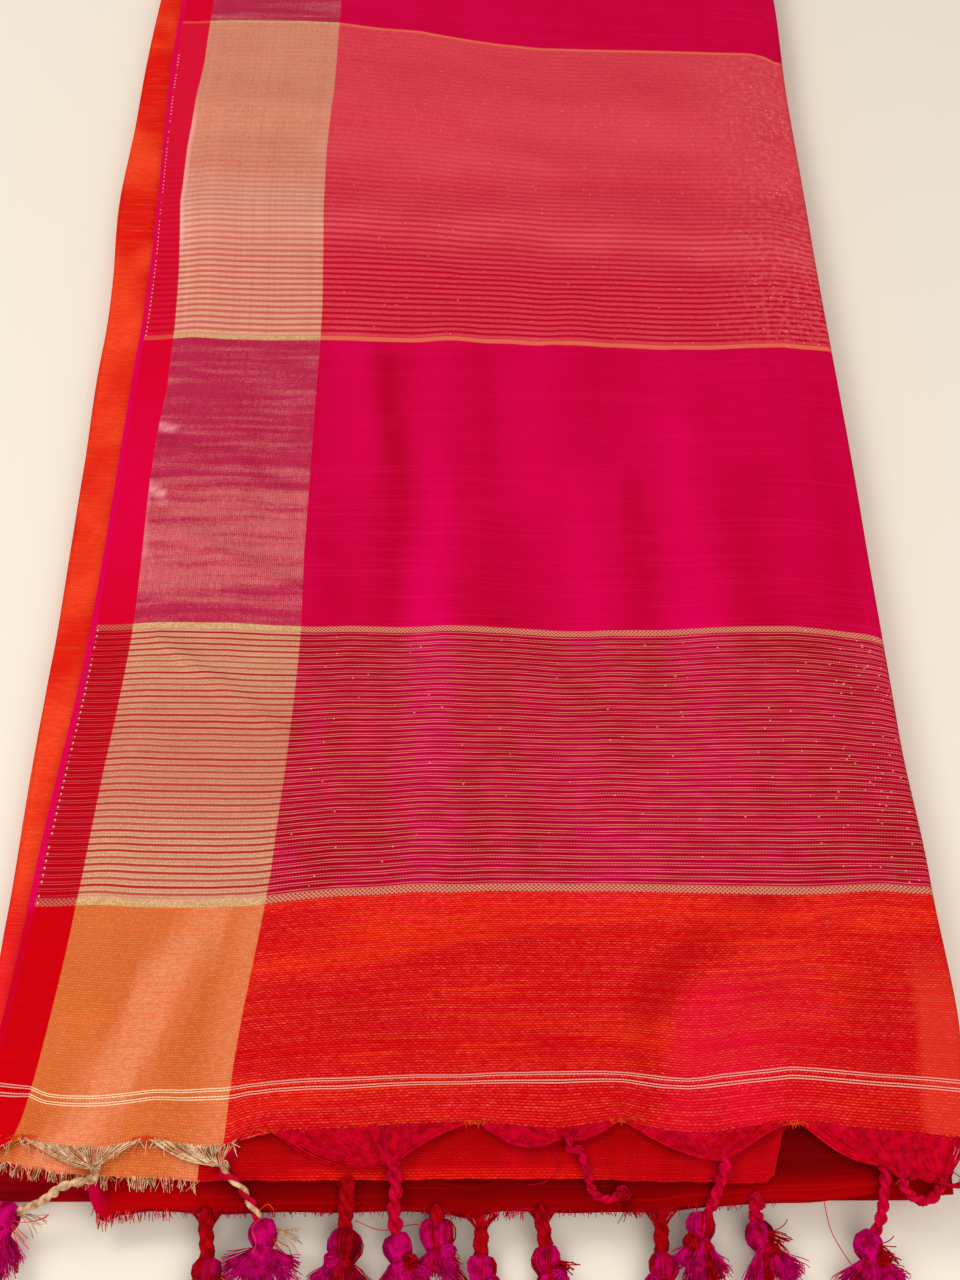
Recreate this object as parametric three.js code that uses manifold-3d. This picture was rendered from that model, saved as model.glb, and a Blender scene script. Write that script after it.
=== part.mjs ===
// A folded saree lying flat, seen from its decorated end. The cloth is folded across into four layers
// and along into eight stretches: the decorated end lies on top, turns round the far end of the pile and
// comes back under it, and the other stretches lie folded in between. Tassels are knotted from the cloth's
// own lengthwise threads along the near end.
//
// Millimetres, +Z up. While it is built, x is 0 at the top layer's left selvedge and grows to the right,
// y is 0 at the end of the weaving and grows away from the tassels, and z is 0 at the surface it lies on.
// The last lines move the whole piece so that its origin is at the bottom centre of its bounding box.

import * as THREE from "three";
import { mergeVertices } from "three/addons/utils/BufferGeometryUtils.js";
import Module from "manifold-3d";

// The whole cloth and how it is folded.
const CLOTH_LENGTH = 5500;
const CLOTH_WIDTH = 1180;
const LAYERS = 4;
const STRETCHES = 8;
const LAYER_WIDTH = CLOTH_WIDTH / LAYERS;
const STRETCH_LENGTH = CLOTH_LENGTH / STRETCHES;

// The cloth's wall and the gap between one layer and the next.
const WALL = 1;
const GAP = 0.3;
const PITCH = WALL + GAP;

// Heights: the four layers of the end stretch turn round the folded pile between them.
const PACK_HEIGHT = LAYERS * PITCH;
const HALF_PILE = 3.65;
const TURN_Z = PACK_HEIGHT + HALF_PILE;
const PILE_TOP = TURN_Z + HALF_PILE;
const TURN_Y = STRETCH_LENGTH - TURN_Z;

// Where the folds and selvedges lie across the pile.
const CENTRE_FOLD_X = 33;
const INNER_FOLD_INSET = 17;
const SEAM_TAIL = 3;
const PILE_RIGHT_INSET = 4;

// The near shoulder, where the pile slopes down to its front edge.
const SHOULDER_Y = 5;
const SHOULDER_RUN = 25;
const SHOULDER_DROP = 4.3;
const SWELL = { height: 0.5, length: 400, fade: 200, skew: 0.3 };

// At the left, where the third and fourth layers end, the two layers over them sink towards the pile.
const SINK = { from: 29, run: 23, depth: 2 };
const SINK_STATIONS = [6, 14, 22, 29];

// Sampling of the walls: rows from the near edge to the flat, then rows up to each y.
const ARC_STEPS = 4;
const TURN_STEPS = 8;
const FLAT_Y = 14;
const NEAR_SHARES = [0, 0.16, 0.33, 0.5, 0.7, 1];
const TOP_ROWS = [{ to: 385, count: 9 }, { to: 640, count: 11 }, { to: TURN_Y, count: 2 }];
const LOWER_ROWS = [{ to: TURN_Y, count: 9 }];
const LONG_GAP = 13.5;

// How far the left side of the top layer strays from a straight line, along its length.
const LEFT_STRAY = [
  { y: -20, x: -4 },
  { y: 77, x: 0 },
  { y: 190, x: 3.5 },
  { y: 350, x: 1.5 },
  { y: 590, x: -8 },
  { y: 690, x: -9 },
];

// The left outline of the folded pile, which shows beside the top layer.
const PILE_LEFT = [
  { y: -25, x: -5 },
  { y: 79, x: -8 },
  { y: 187, x: -9.5 },
  { y: 353, x: -12 },
  { y: 461, x: -17 },
  { y: 600, x: -18 },
  { y: 690, x: -17 },
];

// The near edge of the top layer: arches at the end of the weaving, and the tips where threads gather.
const TOP_EDGE = [
  { x: 0, y: -7 },
  { x: 14, y: -4 },
  { x: 35, y: -11 },
  { x: 50, y: -3 },
  { x: 73, y: -9.5 },
  { x: 86, y: 0.5 },
  { x: 123, y: -9 },
  { x: 149, y: 2.5 },
  { x: 175, y: -2 },
  { x: 195, y: 4.5 },
  { x: 221, y: -6.5 },
  { x: 240, y: 5 },
  { x: 268, y: -5.5 },
  { x: 283, y: -1 },
  { x: LAYER_WIDTH, y: -2 },
];

// The near edges of the layers under it.
const SECOND_EDGE = [
  { x: -2.5, y: -10 },
  { x: 29, y: -15 },
  { x: 69, y: -16.5 },
  { x: 84, y: -13.5 },
  { x: 172, y: -12 },
  { x: 228, y: -13 },
  { x: 232, y: -9 },
  { x: 236, y: -4 },
  { x: 240, y: 1 },
  { x: LAYER_WIDTH, y: 0 },
];
const THIRD_EDGE = [
  { x: 30, y: -23 },
  { x: 75, y: -23.5 },
  { x: 105, y: -21.5 },
  { x: 160, y: -20 },
  { x: 225, y: -18.5 },
  { x: LAYER_WIDTH, y: -17 },
];

// Soft folds that stand up in the top layer: from one point to another, with a height and a half width.
const FOLDS = [
  { name: "left ripple", x0: 128, y0: 90, x1: 132, y1: 350, height: 1.3, half: 17 },
  { name: "right ripple", x0: 190, y0: 120, x1: 184, y1: 370, height: 1.1, half: 16 },
  { name: "edge ripple", x0: 262, y0: 150, x1: 255, y1: 330, height: 0.8, half: 20 },
  { name: "corner crease", x0: 280, y0: 84, x1: 212, y1: 2, height: 1.6, half: 15 },
  { name: "middle crease", x0: 150, y0: 62, x1: 96, y1: 22, height: 1, half: 18 },
  { name: "border crease", x0: 30, y0: 238, x1: 88, y1: 205, height: 0.9, half: 9 },
  { name: "first cross swell", x0: 20, y0: 432, x1: 285, y1: 418, height: 1.6, half: 26 },
  { name: "second cross swell", x0: 25, y0: 515, x1: 280, y1: 500, height: 1.8, half: 30 },
  { name: "far swell", x0: 40, y0: 612, x1: 270, y1: 604, height: 1.4, half: 28 },
];
const TIP_RISE = 1.2;
const TIP_HALF = 7;
const TIP_STRETCH = 0.8;

// The folded pile, bottom to top: a row for each stretch, with its share of the pile's height and how far
// its fold is set back at the near end and shifted at the left and right.
const PILE_STRETCHES = [
  { share: 0.3, near: -15.5, left: 0.5, right: 0 },
  { share: 0.17, near: -13.5, left: -1.2, right: 1.5 },
  { share: 0.18, near: -11.5, left: 1.6, right: -1 },
  { share: 0.17, near: -9, left: -0.6, right: 0.8 },
  { share: 0.18, near: -6.5, left: 1, right: -0.6 },
];

// One fold's profile from its lower side to its upper one: a share of the height, and how far it is set in.
const FOLD_DEPTH = 2.4;
const FOLD_PROFILE = [
  { share: 0, inset: FOLD_DEPTH },
  { share: 0.22, inset: 0.35 },
  { share: 0.72, inset: 0 },
];
const BOTTOM_INSET = 0.9;

// The pile's plan: its rounded corners, the slant of its near side, and its samples across and along,
// which are closer near its sides so that the corners round well.
const CORNER_RADIUS = 9;
const NEAR_SLANT = 3;
const SLANT_POWER = 8;
const PILE_ACROSS = [0, 0.009, 0.03, 0.25, 0.5, 0.75, 0.97, 0.991, 1];
const PILE_NEAR_SHARES = [0, 0.004, 0.013, 0.028];
const PILE_MIDDLE = { from: 0.05, to: 0.95, count: 9 };
const PILE_FAR_SHARES = [0.972, 0.987, 0.996, 1];

// How the pile's far end nests inside the turn of the end stretch.
const NEST_STEP = 0.6;
const NEST_GAP = 0.1;
const NEST_INSETS = { low: 0.3, high: 0.2 };

// The tassels. Each hangs from an edge at x, and its cord runs through the points [x, y] to its head, at a
// height over the surface. Where that height is 0 the cord ends in a small knot on the cloth it lies on.
// Angles are from straight towards the viewer, and grow to the right.
const CORD_RADIUS = 2.2;
const CORD_SIDES = 5;
const CORD_GAP = 0.4;
const HEAD_RADIUS = 4.4;
const HEAD_SIDES = 7;
const HEAD_RINGS = 5;
const KNOT_RADIUS = 3;

// The locks of threads: even ones lie on the surface, and odd ones are raised over them.
const LOCK_SIDES = 3;
const LOCK_ROOT = 1;
const LOCK_FLATNESS = 0.8;
const LOCK_FILL = 0.85;
const LOCK_ROUNDING = 0.5;
const LOCK_END = { least: 0.9, most: 1.9 };
const LYING_LOCK = { spread: 1, reach: 1, rootZ: -1, lift: 0.8, endClearance: 0.5 };
const RAISED_LOCK = { spread: 0.85, reach: 0.9, rootZ: 1.4, lift: 1.4, leastEndZ: 6.2, endShare: 0.75 };
const KNOT_LOCK = { start: 0.5, lift: 0.5, clearance: 0.6 };
const LOCK_START = 0.4;
const TOP_TASSELS = [
  {
    x: 35,
    cord: [[27, -17], [20, -21], [14, -24.5]],
    head: 9, angle: -22, length: 19, spread: 44, locks: 7, tone: "gold",
  },
  {
    x: 73,
    cord: [[77, -15], [82, -21], [85.5, -28]],
    head: 11.5, angle: 0, length: 18, spread: 76, locks: 9, tone: "gold",
  },
  {
    x: 123,
    cord: [[124, -15], [123.5, -21], [124, -27]],
    head: 9.5, angle: 2, length: 16, spread: 36, locks: 5, tone: "magenta",
  },
  {
    x: 175,
    cord: [[180, -9], [182, -16.5], [187, -20], [193, -17.5]],
    head: 0, angle: 62, length: 7, spread: 60, locks: 4, tone: "magenta",
  },
  {
    x: 221,
    cord: [[218.5, -13], [215.5, -19], [213.5, -24.5]],
    head: 10.5, angle: -6, length: 18, spread: 46, locks: 7, tone: "magenta",
  },
  {
    x: 268,
    cord: [[268, -12], [267, -18], [265, -24]],
    head: 10, angle: -2, length: 18, spread: 64, locks: 9, tone: "magenta",
  },
  {
    x: 275.5,
    cord: [[277, -9], [280, -15], [285, -16.5], [290.5, -12]],
    head: 0, angle: 130, length: 6, spread: 50, locks: 3, tone: "magenta",
  },
];
const LOWER_TASSELS = [
  {
    x: 68,
    cord: [[68.5, -29], [69, -35]],
    head: 5.5, angle: -12, length: 15, spread: 34, locks: 5, tone: "red",
  },
  {
    x: 107,
    cord: [[107.5, -27], [107.5, -32]],
    head: 6, angle: -8, length: 16, spread: 44, locks: 6, tone: "red",
  },
  {
    x: 136,
    cord: [[137.5, -25], [138.5, -29]],
    head: 6, angle: 8, length: 15, spread: 26, locks: 5, tone: "red",
  },
  {
    x: 149,
    cord: [[149, -27], [149, -36]],
    head: 5.5, angle: 0, length: 14, spread: 22, locks: 4, tone: "red",
  },
  {
    x: 167,
    cord: [[167.5, -26], [168.5, -33]],
    head: 5.5, angle: 4, length: 15, spread: 26, locks: 5, tone: "red",
  },
  {
    x: 202,
    cord: [[202, -27], [202, -35]],
    head: 5.5, angle: -2, length: 15, spread: 24, locks: 5, tone: "red",
  },
  {
    x: 230,
    cord: [[231, -22], [232, -25.5]],
    head: 7, angle: 10, length: 19, spread: 40, locks: 6, tone: "magenta",
  },
];

// Short cut threads along the edges of the lower layers: from one x to another, with a strand count.
const FRINGES = [
  { name: "fringe_border", edge: "second", from: 4, to: 68, strands: 28, reach: 5.5, tone: "gold" },
  { name: "fringe_lower_left", edge: "third", from: 38, to: 60, strands: 11, reach: 3.2, tone: "red" },
  { name: "fringe_lower_middle", edge: "third", from: 153.5, to: 162.5, strands: 5, reach: 2.8, tone: "red" },
];
const FRINGE_STRIP = 1.2;
const FRINGE_GAP = 0.7;
const FRINGE_HALF = 0.4;
const STRAND = { root: 0.42, tip: 0.34, leastZ: 0.75, even: 0.75, uneven: 0.25, sway: 0.6 };
const STRAND_BEAT = { reach: 2.4, sway: 1.7 };

// Colours as linear RGB shares, one row for each finish.
const FINISHES = {
  pallu: { colour: [0.62, 0.01, 0.09], roughness: 0.55 },
  second: { colour: [0.6, 0.02, 0.04], roughness: 0.6 },
  third: { colour: [0.5, 0.01, 0.03], roughness: 0.62 },
  body: { colour: [0.72, 0.06, 0.02], roughness: 0.65 },
  gold: { colour: [0.55, 0.33, 0.14], roughness: 0.42 },
  magenta: { colour: [0.5, 0.01, 0.22], roughness: 0.8 },
  red: { colour: [0.5, 0.01, 0.04], roughness: 0.8 },
};

const wasm = await Module();
wasm.setup();

// The value of a table's column at y or x, eased from row to row.
function along(table, key, column, at) {
  const last = table.length - 1;
  if (at <= table[0][key]) return table[0][column];
  if (at >= table[last][key]) return table[last][column];
  const next = table.findIndex((row) => row[key] > at);
  const [a, b] = [table[next - 1], table[next]];
  const share = (at - a[key]) / (b[key] - a[key]);
  return a[column] + (b[column] - a[column]) * share * share * (3 - 2 * share);
}

// How far the whole pile's surface lies above or below its level height at a point.
function lie(x, y) {
  const past = Math.max(0, SHOULDER_Y - y) / SHOULDER_RUN;
  const fade = THREE.MathUtils.clamp((TURN_Y - y) / SWELL.fade, 0, 1);
  const wave = SWELL.height * Math.sin((2 * Math.PI * (y + SWELL.skew * x)) / SWELL.length) * fade;
  return wave - SHOULDER_DROP * past ** 3;
}

// How far the first two layers sink at the left, beside the centre fold.
function sink(x, y) {
  const share = THREE.MathUtils.smoothstep(SINK.from - x, 0, SINK.run);
  return SINK.depth * share * THREE.MathUtils.clamp((TURN_Y - y) / SWELL.fade, 0, 1);
}

// The middle height of a layer above the pile's top, where layer 1 is the top one.
function layerHeight(layer) {
  return PACK_HEIGHT - WALL / 2 - (layer - 1) * PITCH;
}

// How far the left side of the cloth is carried sideways, fading out towards the right fold.
function stray(x, y) {
  return along(LEFT_STRAY, "y", "x", y) * THREE.MathUtils.clamp(1 - x / LAYER_WIDTH, 0, 1);
}

// A point of the end stretch: x across, height above the pile's top, and t along. Past TURN_Y, t goes on
// as the angle in radians by which the stretch has turned round the far end.
function pointOfStretch(x, height, t) {
  if (t <= TURN_Y) {
    return new THREE.Vector3(x + stray(x, t), t, PILE_TOP + height + lie(x, t));
  }
  const angle = t - TURN_Y;
  const radius = PILE_TOP + height - TURN_Z;
  return new THREE.Vector3(
    x + stray(x, TURN_Y),
    TURN_Y + radius * Math.sin(angle),
    TURN_Z + radius * Math.cos(angle),
  );
}

// The rows along a layer that starts at the near edge given for one column.
function rowsFrom(nearY, spacing) {
  const rows = NEAR_SHARES.map((share) => nearY + (FLAT_Y - nearY) * share);
  for (const { to, count } of spacing) rows.push(...run(rows.at(-1), to, count).slice(1));
  for (let i = 1; i <= TURN_STEPS; i++) rows.push(TURN_Y + (Math.PI * i) / TURN_STEPS);
  return rows;
}

// How high a soft fold of the table stands at a point.
function foldRise(fold, x, y) {
  const [dx, dy] = [fold.x1 - fold.x0, fold.y1 - fold.y0];
  const length = Math.hypot(dx, dy);
  const share = ((x - fold.x0) * dx + (y - fold.y0) * dy) / (length * length);
  const across = Math.abs((x - fold.x0) * dy - (y - fold.y0) * dx) / length / fold.half;
  const beyond = (Math.max(0, -share, share - 1) * length) / fold.half;
  const distance = Math.hypot(across, beyond);
  return distance >= 1 ? 0 : fold.height * (0.5 + 0.5 * Math.cos(Math.PI * distance));
}

// The tips of the top layer's edge: the rows that lie nearer the viewer than both neighbours.
const TIPS = TOP_EDGE.filter(
  (row, i) => i > 0 && i < TOP_EDGE.length - 1 && row.y < TOP_EDGE[i - 1].y && row.y < TOP_EDGE[i + 1].y,
);

// How far the top layer stands above the layer under it: its folds, and the rise at each gathered tip.
function topRise(x, y) {
  const folds = FOLDS.reduce((most, fold) => Math.max(most, foldRise(fold, x, y)), 0);
  const tips = TIPS.reduce((most, tip) => {
    const distance = Math.hypot(x - tip.x, Math.max(0, y - tip.y) * TIP_STRETCH) / TIP_HALF;
    return Math.max(most, TIP_RISE * Math.max(0, 1 - distance));
  }, 0);
  return Math.max(folds, tips);
}

// The near edge of the top layer at x: pointed at the tips and round in the arches.
function topEdge(x) {
  const next = Math.max(1, TOP_EDGE.findIndex((row) => row.x >= x));
  const [a, b] = [TOP_EDGE[next - 1], TOP_EDGE[next] ?? TOP_EDGE.at(-1)];
  const share = (x - a.x) / (b.x - a.x || 1);
  const eased = a.y < b.y ? Math.sin((Math.PI / 2) * share) : 1 - Math.cos((Math.PI / 2) * share);
  return a.y + (b.y - a.y) * eased;
}

// Columns of a straight run between two values of x.
function run(from, to, count) {
  return Array.from({ length: count + 1 }, (_, i) => from + ((to - from) * i) / count);
}

// A fold between two layers: points of a half circle in the plane across the stretch.
function halfTurn(x, fromLayer, toLayer, side) {
  const [top, bottom] = [layerHeight(fromLayer), layerHeight(toLayer)];
  const middle = (top + bottom) / 2;
  const radius = (top - bottom) / 2;
  return run(0, Math.PI, ARC_STEPS).map((angle) => ({
    x: x + side * Math.abs(radius) * Math.sin(angle),
    height: middle + radius * Math.cos(angle),
  }));
}

// A closed wall along a folded line across the stretch. Each point of the line has x and height, and each
// column runs from its own near edge round to the stretch's end.
function foldedWall(line, nearEdge, spacing, rise) {
  const columns = line.map((point, i) => {
    const before = line[Math.max(0, i - 1)];
    const after = line[Math.min(line.length - 1, i + 1)];
    const tangent = new THREE.Vector2(after.x - before.x, after.height - before.height).normalize();
    const normal = new THREE.Vector2(-tangent.y, tangent.x).multiplyScalar(WALL / 2);
    return rowsFrom(nearEdge(point.x), spacing).map((t) => {
      const lift = t <= TURN_Y ? rise(point, t) : 0;
      const side = (sign) =>
        pointOfStretch(point.x + sign * normal.x, point.height + sign * normal.y + lift, t);
      return [side(1), side(-1)];
    });
  });
  return closedGrid(columns);
}

// A closed surface from a grid of [outer, inner] points.
function closedGrid(columns) {
  const [across, down] = [columns.length, columns[0].length];
  const index = (i, j, side) => 2 * (i * down + j) + side;
  const faces = [];
  const quad = (a, b, c, d) => faces.push(a, b, c, a, c, d);
  for (let i = 0; i < across - 1; i++) {
    for (let j = 0; j < down - 1; j++) {
      quad(index(i, j, 0), index(i + 1, j, 0), index(i + 1, j + 1, 0), index(i, j + 1, 0));
      quad(index(i, j, 1), index(i, j + 1, 1), index(i + 1, j + 1, 1), index(i + 1, j, 1));
    }
    quad(index(i, 0, 0), index(i, 0, 1), index(i + 1, 0, 1), index(i + 1, 0, 0));
    const last = down - 1;
    quad(index(i, last, 0), index(i + 1, last, 0), index(i + 1, last, 1), index(i, last, 1));
  }
  for (let j = 0; j < down - 1; j++) {
    quad(index(0, j, 0), index(0, j + 1, 0), index(0, j + 1, 1), index(0, j, 1));
    const last = across - 1;
    quad(index(last, j, 0), index(last, j, 1), index(last, j + 1, 1), index(last, j + 1, 0));
  }
  return geometryOf(columns.flat(2), faces);
}

function geometryOf(points, faces) {
  const geometry = new THREE.BufferGeometry();
  const flat = points.flatMap((p) => [p.x, p.y, p.z]);
  geometry.setAttribute("position", new THREE.Float32BufferAttribute(flat, 3));
  geometry.setIndex(faces);
  return outward(geometry);
}

// Turns a closed surface's faces outward if they point inward.
function outward(geometry) {
  const at = geometry.attributes.position;
  const faces = geometry.index.array;
  const [a, b, c] = [new THREE.Vector3(), new THREE.Vector3(), new THREE.Vector3()];
  let volume = 0;
  for (let i = 0; i < faces.length; i += 3) {
    a.fromBufferAttribute(at, faces[i]);
    b.fromBufferAttribute(at, faces[i + 1]);
    c.fromBufferAttribute(at, faces[i + 2]);
    volume += a.dot(b.cross(c)) / 6;
  }
  if (volume < 0) {
    for (let i = 0; i < faces.length; i += 3) {
      [faces[i + 1], faces[i + 2]] = [faces[i + 2], faces[i + 1]];
    }
  }
  return geometry;
}

// Layer 1, the right fold and the start of layer 4.
function topLayer() {
  const foldX = LAYER_WIDTH - (layerHeight(1) - layerHeight(4)) / 2 - WALL / 2;
  const stations = TOP_EDGE.filter((row) => row.x < foldX).map((row) => row.x);
  stations.push(foldX);
  const line = [
    ...sinking(stations).map((x) => ({ x, height: layerHeight(1) })),
    ...halfTurn(foldX, 1, 4, 1).slice(1),
    { x: foldX - SEAM_TAIL, height: layerHeight(4) },
  ];
  const rise = (point, y) => {
    if (point.height !== layerHeight(1)) return 0;
    return topRise(point.x, y) * edgeFade(point.x, foldX) - sink(point.x, y);
  };
  return foldedWall(line, topEdge, TOP_ROWS, rise);
}

// Stations across the first two layers, with those where they sink.
function sinking(stations) {
  return withMiddles([...new Set([...stations, ...SINK_STATIONS])].sort((a, b) => a - b));
}

// Stations with one more in the middle of each long gap.
function withMiddles(stations) {
  return stations.flatMap((x, i) => {
    const before = stations[i - 1] ?? x;
    return x - before > LONG_GAP ? [(x + before) / 2, x] : [x];
  });
}

// Folds of the top layer die out at the right fold, so that the turn stays whole.
function edgeFade(x, foldX) {
  return THREE.MathUtils.clamp((foldX - x) / INNER_FOLD_INSET, 0, 1);
}

// Layer 2 from the second selvedge, the inner fold and the end of layer 3.
function secondLayer() {
  const foldX = LAYER_WIDTH - INNER_FOLD_INSET;
  const stations = SECOND_EDGE.filter((row) => row.x < foldX).map((row) => row.x);
  const line = [
    ...sinking([...stations, foldX]).map((x) => ({ x, height: layerHeight(2) })),
    ...halfTurn(foldX, 2, 3, 1).slice(1),
    { x: foldX - SEAM_TAIL, height: layerHeight(3) },
  ];
  const rise = (point, y) => (point.height === layerHeight(2) ? -sink(point.x, y) : 0);
  return foldedWall(line, (x) => along(SECOND_EDGE, "x", "y", x), LOWER_ROWS, rise);
}

// Layer 3, the cloth's centre fold at the left, and layer 4.
function thirdLayer() {
  const innerX = LAYER_WIDTH - INNER_FOLD_INSET;
  const outerX = LAYER_WIDTH - (layerHeight(1) - layerHeight(4)) / 2 - WALL / 2;
  const stationsTo = (end) => {
    const rows = THIRD_EDGE.map((row) => row.x).filter((x) => x > CENTRE_FOLD_X && x < end);
    return withMiddles([CENTRE_FOLD_X, ...rows, end]);
  };
  const line = [
    ...stationsTo(innerX - SEAM_TAIL - GAP).reverse().map((x) => ({ x, height: layerHeight(3) })),
    ...halfTurn(CENTRE_FOLD_X, 3, 4, -1).slice(1),
    ...stationsTo(outerX - SEAM_TAIL - GAP).slice(1).map((x) => ({ x, height: layerHeight(4) })),
  ];
  return foldedWall(line, (x) => along(THIRD_EDGE, "x", "y", x), LOWER_ROWS, () => 0);
}

// The folded pile under the end stretch: its hidden layers as one solid, with a rounded fold for each
// stretch along its edges. The far end nests inside the turn of the end stretch.
function foldedPile() {
  const rings = [];
  let z = 0;
  for (const stretch of PILE_STRETCHES) {
    const height = stretch.share * PILE_TOP;
    for (const { share, inset } of FOLD_PROFILE) rings.push({ stretch, z: z + share * height, inset });
    z += height;
  }
  rings[0].inset = BOTTOM_INSET;
  rings.push({ stretch: PILE_STRETCHES.at(-1), z: PILE_TOP, inset: FOLD_DEPTH });
  const rows = pileRows();
  const grid = rings.map((ring) => rows.map((y) => pileRow(ring, y)));
  const boundary = ringOrder(PILE_ACROSS.length, rows.length);
  const points = [];
  const faces = [];
  const rim = grid.map((level) => boundary.map(([i, j]) => points.push(level[j][i]) - 1));
  for (let r = 0; r < rim.length - 1; r++) {
    for (let k = 0; k < boundary.length; k++) {
      const next = (k + 1) % boundary.length;
      const [a, b, c, d] = [rim[r][k], rim[r][next], rim[r + 1][next], rim[r + 1][k]];
      faces.push(a, b, c, a, c, d);
    }
  }
  capGrid(grid.at(-1), rim.at(-1), boundary, points, faces);
  const centre = points.push(new THREE.Vector3(LAYER_WIDTH / 2, STRETCH_LENGTH / 2, 0)) - 1;
  rim[0].forEach((a, k) => faces.push(rim[0][(k + 1) % boundary.length], a, centre));
  return geometryOf(points, faces);
}

// The shares along the pile at which it is sampled.
function pileRows() {
  const middle = run(PILE_MIDDLE.from, PILE_MIDDLE.to, PILE_MIDDLE.count);
  return [...PILE_NEAR_SHARES, ...middle, ...PILE_FAR_SHARES];
}

// The far end of the pile at a level: straight where the lower layers of the turn pass under it, and round
// where it fills the turn.
function pileFar(z, inset) {
  if (z < PACK_HEIGHT + NEST_STEP) return TURN_Y - GAP - NEST_GAP - inset * NEST_INSETS.low;
  const depth = z - TURN_Z;
  const nested = Math.sqrt(Math.max(0, HALF_PILE * HALF_PILE - depth * depth)) - NEST_GAP;
  return TURN_Y + Math.max(nested, 0) - inset * NEST_INSETS.high;
}

// One row of points across the pile at a ring's level, with its corners rounded.
function pileRow(ring, share) {
  const { stretch, z, inset } = ring;
  const near = stretch.near + inset;
  const far = pileFar(z, inset);
  const right = LAYER_WIDTH - PILE_RIGHT_INSET + stretch.right - inset;
  const y = near + (far - near) * share;
  const left = along(PILE_LEFT, "y", "x", y) + stretch.left + inset;
  return PILE_ACROSS.map((across) => {
    const x = left + (right - left) * across;
    const [px, level] = roundCorner(x, y, { left, right, near, far }, CORNER_RADIUS);
    const py = level + NEAR_SLANT * (1 - share) ** SLANT_POWER * across;
    const scale = 1 + lie(px, Math.min(py, TURN_Y)) / PILE_TOP;
    return new THREE.Vector3(px, py, z * scale);
  });
}

// Moves a point of the square corner patch onto the round one.
function roundCorner(x, y, box, radius) {
  const cx = THREE.MathUtils.clamp(x, box.left + radius, box.right - radius);
  const cy = THREE.MathUtils.clamp(y, box.near + radius, box.far - radius);
  const [dx, dy] = [x - cx, y - cy];
  if (!dx || !dy) return [x, y];
  const scale = Math.max(Math.abs(dx), Math.abs(dy)) / Math.hypot(dx, dy);
  return [cx + dx * scale, cy + dy * scale];
}

// The grid's rim as [column, row] pairs, once round.
function ringOrder(across, down) {
  const order = [];
  for (let i = 0; i < across - 1; i++) order.push([i, 0]);
  for (let j = 0; j < down - 1; j++) order.push([across - 1, j]);
  for (let i = across - 1; i > 0; i--) order.push([i, down - 1]);
  for (let j = down - 1; j > 0; j--) order.push([0, j]);
  return order;
}

// Fills a level of the grid, sharing the rim's own points.
function capGrid(level, rim, boundary, points, faces) {
  const index = new Map(boundary.map(([i, j], k) => [`${i},${j}`, rim[k]]));
  const at = (i, j) => {
    const key = `${i},${j}`;
    if (!index.has(key)) index.set(key, points.push(level[j][i]) - 1);
    return index.get(key);
  };
  for (let j = 0; j < level.length - 1; j++) {
    for (let i = 0; i < level[0].length - 1; i++) {
      faces.push(at(i, j), at(i + 1, j), at(i + 1, j + 1), at(i, j), at(i + 1, j + 1), at(i, j + 1));
    }
  }
}

// The top of whatever a cord lies on between two values of y: a layer with its cut threads, or the pile.
function restingZ(x, near, far) {
  const heights = [0];
  for (const y of run(near, far, 4)) {
    if (y > along(SECOND_EDGE, "x", "y", x) - fringeReach("second", x)) {
      heights.push(layerTop(2, x, y) - sink(x, y));
    }
    if (x > CENTRE_FOLD_X - 2 * CORD_RADIUS && y > along(THIRD_EDGE, "x", "y", x) - fringeReach("third", x)) {
      heights.push(layerTop(3, x, y));
    }
    const lowest = PILE_STRETCHES[0];
    if (y > lowest.near) heights.push(lowest.share * (PILE_TOP + lie(x, y)));
  }
  return Math.max(...heights);
}

// How far the cut threads of a layer reach past its edge at x.
function fringeReach(edge, x) {
  const beside = (row) => x > row.from - CORD_RADIUS && x < row.to + CORD_RADIUS;
  const near = FRINGES.find((row) => row.edge === edge && beside(row));
  return near ? near.reach + FRINGE_STRIP : GAP;
}

function layerTop(layer, x, y) {
  return PILE_TOP + layerHeight(layer) + WALL / 2 + lie(x, y);
}

// A tapered lock of threads with a few flat sides, curving outward from the tassel's head.
function lock(start, end, startRadius, endRadius, lift) {
  const steps = lift ? 2 : 1;
  const direction = end.clone().sub(start);
  const side = new THREE.Vector3(-direction.y, direction.x, 0).normalize();
  const points = [];
  const faces = [];
  for (let i = 0; i <= steps; i++) {
    const share = i / steps;
    const centre = start.clone().addScaledVector(direction, share);
    centre.z += lift * Math.sin(Math.PI * share);
    const radius = startRadius + (endRadius - startRadius) * share;
    for (let k = 0; k < LOCK_SIDES; k++) {
      const angle = (2 * Math.PI * k) / LOCK_SIDES + Math.PI / 2;
      const point = centre.clone().addScaledVector(side, radius * Math.cos(angle));
      point.z += radius * LOCK_FLATNESS * Math.sin(angle);
      points.push(point);
    }
  }
  const at = (i, k) => i * LOCK_SIDES + (k % LOCK_SIDES);
  for (let i = 0; i < steps; i++) {
    for (let k = 0; k < LOCK_SIDES; k++) {
      faces.push(at(i, k), at(i, k + 1), at(i + 1, k + 1), at(i, k), at(i + 1, k + 1), at(i + 1, k));
    }
  }
  for (let k = 1; k < LOCK_SIDES - 1; k++) {
    faces.push(at(0, 0), at(0, k + 1), at(0, k));
    faces.push(at(steps, 0), at(steps, k), at(steps, k + 1));
  }
  return geometryOf(points, faces);
}

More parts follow.
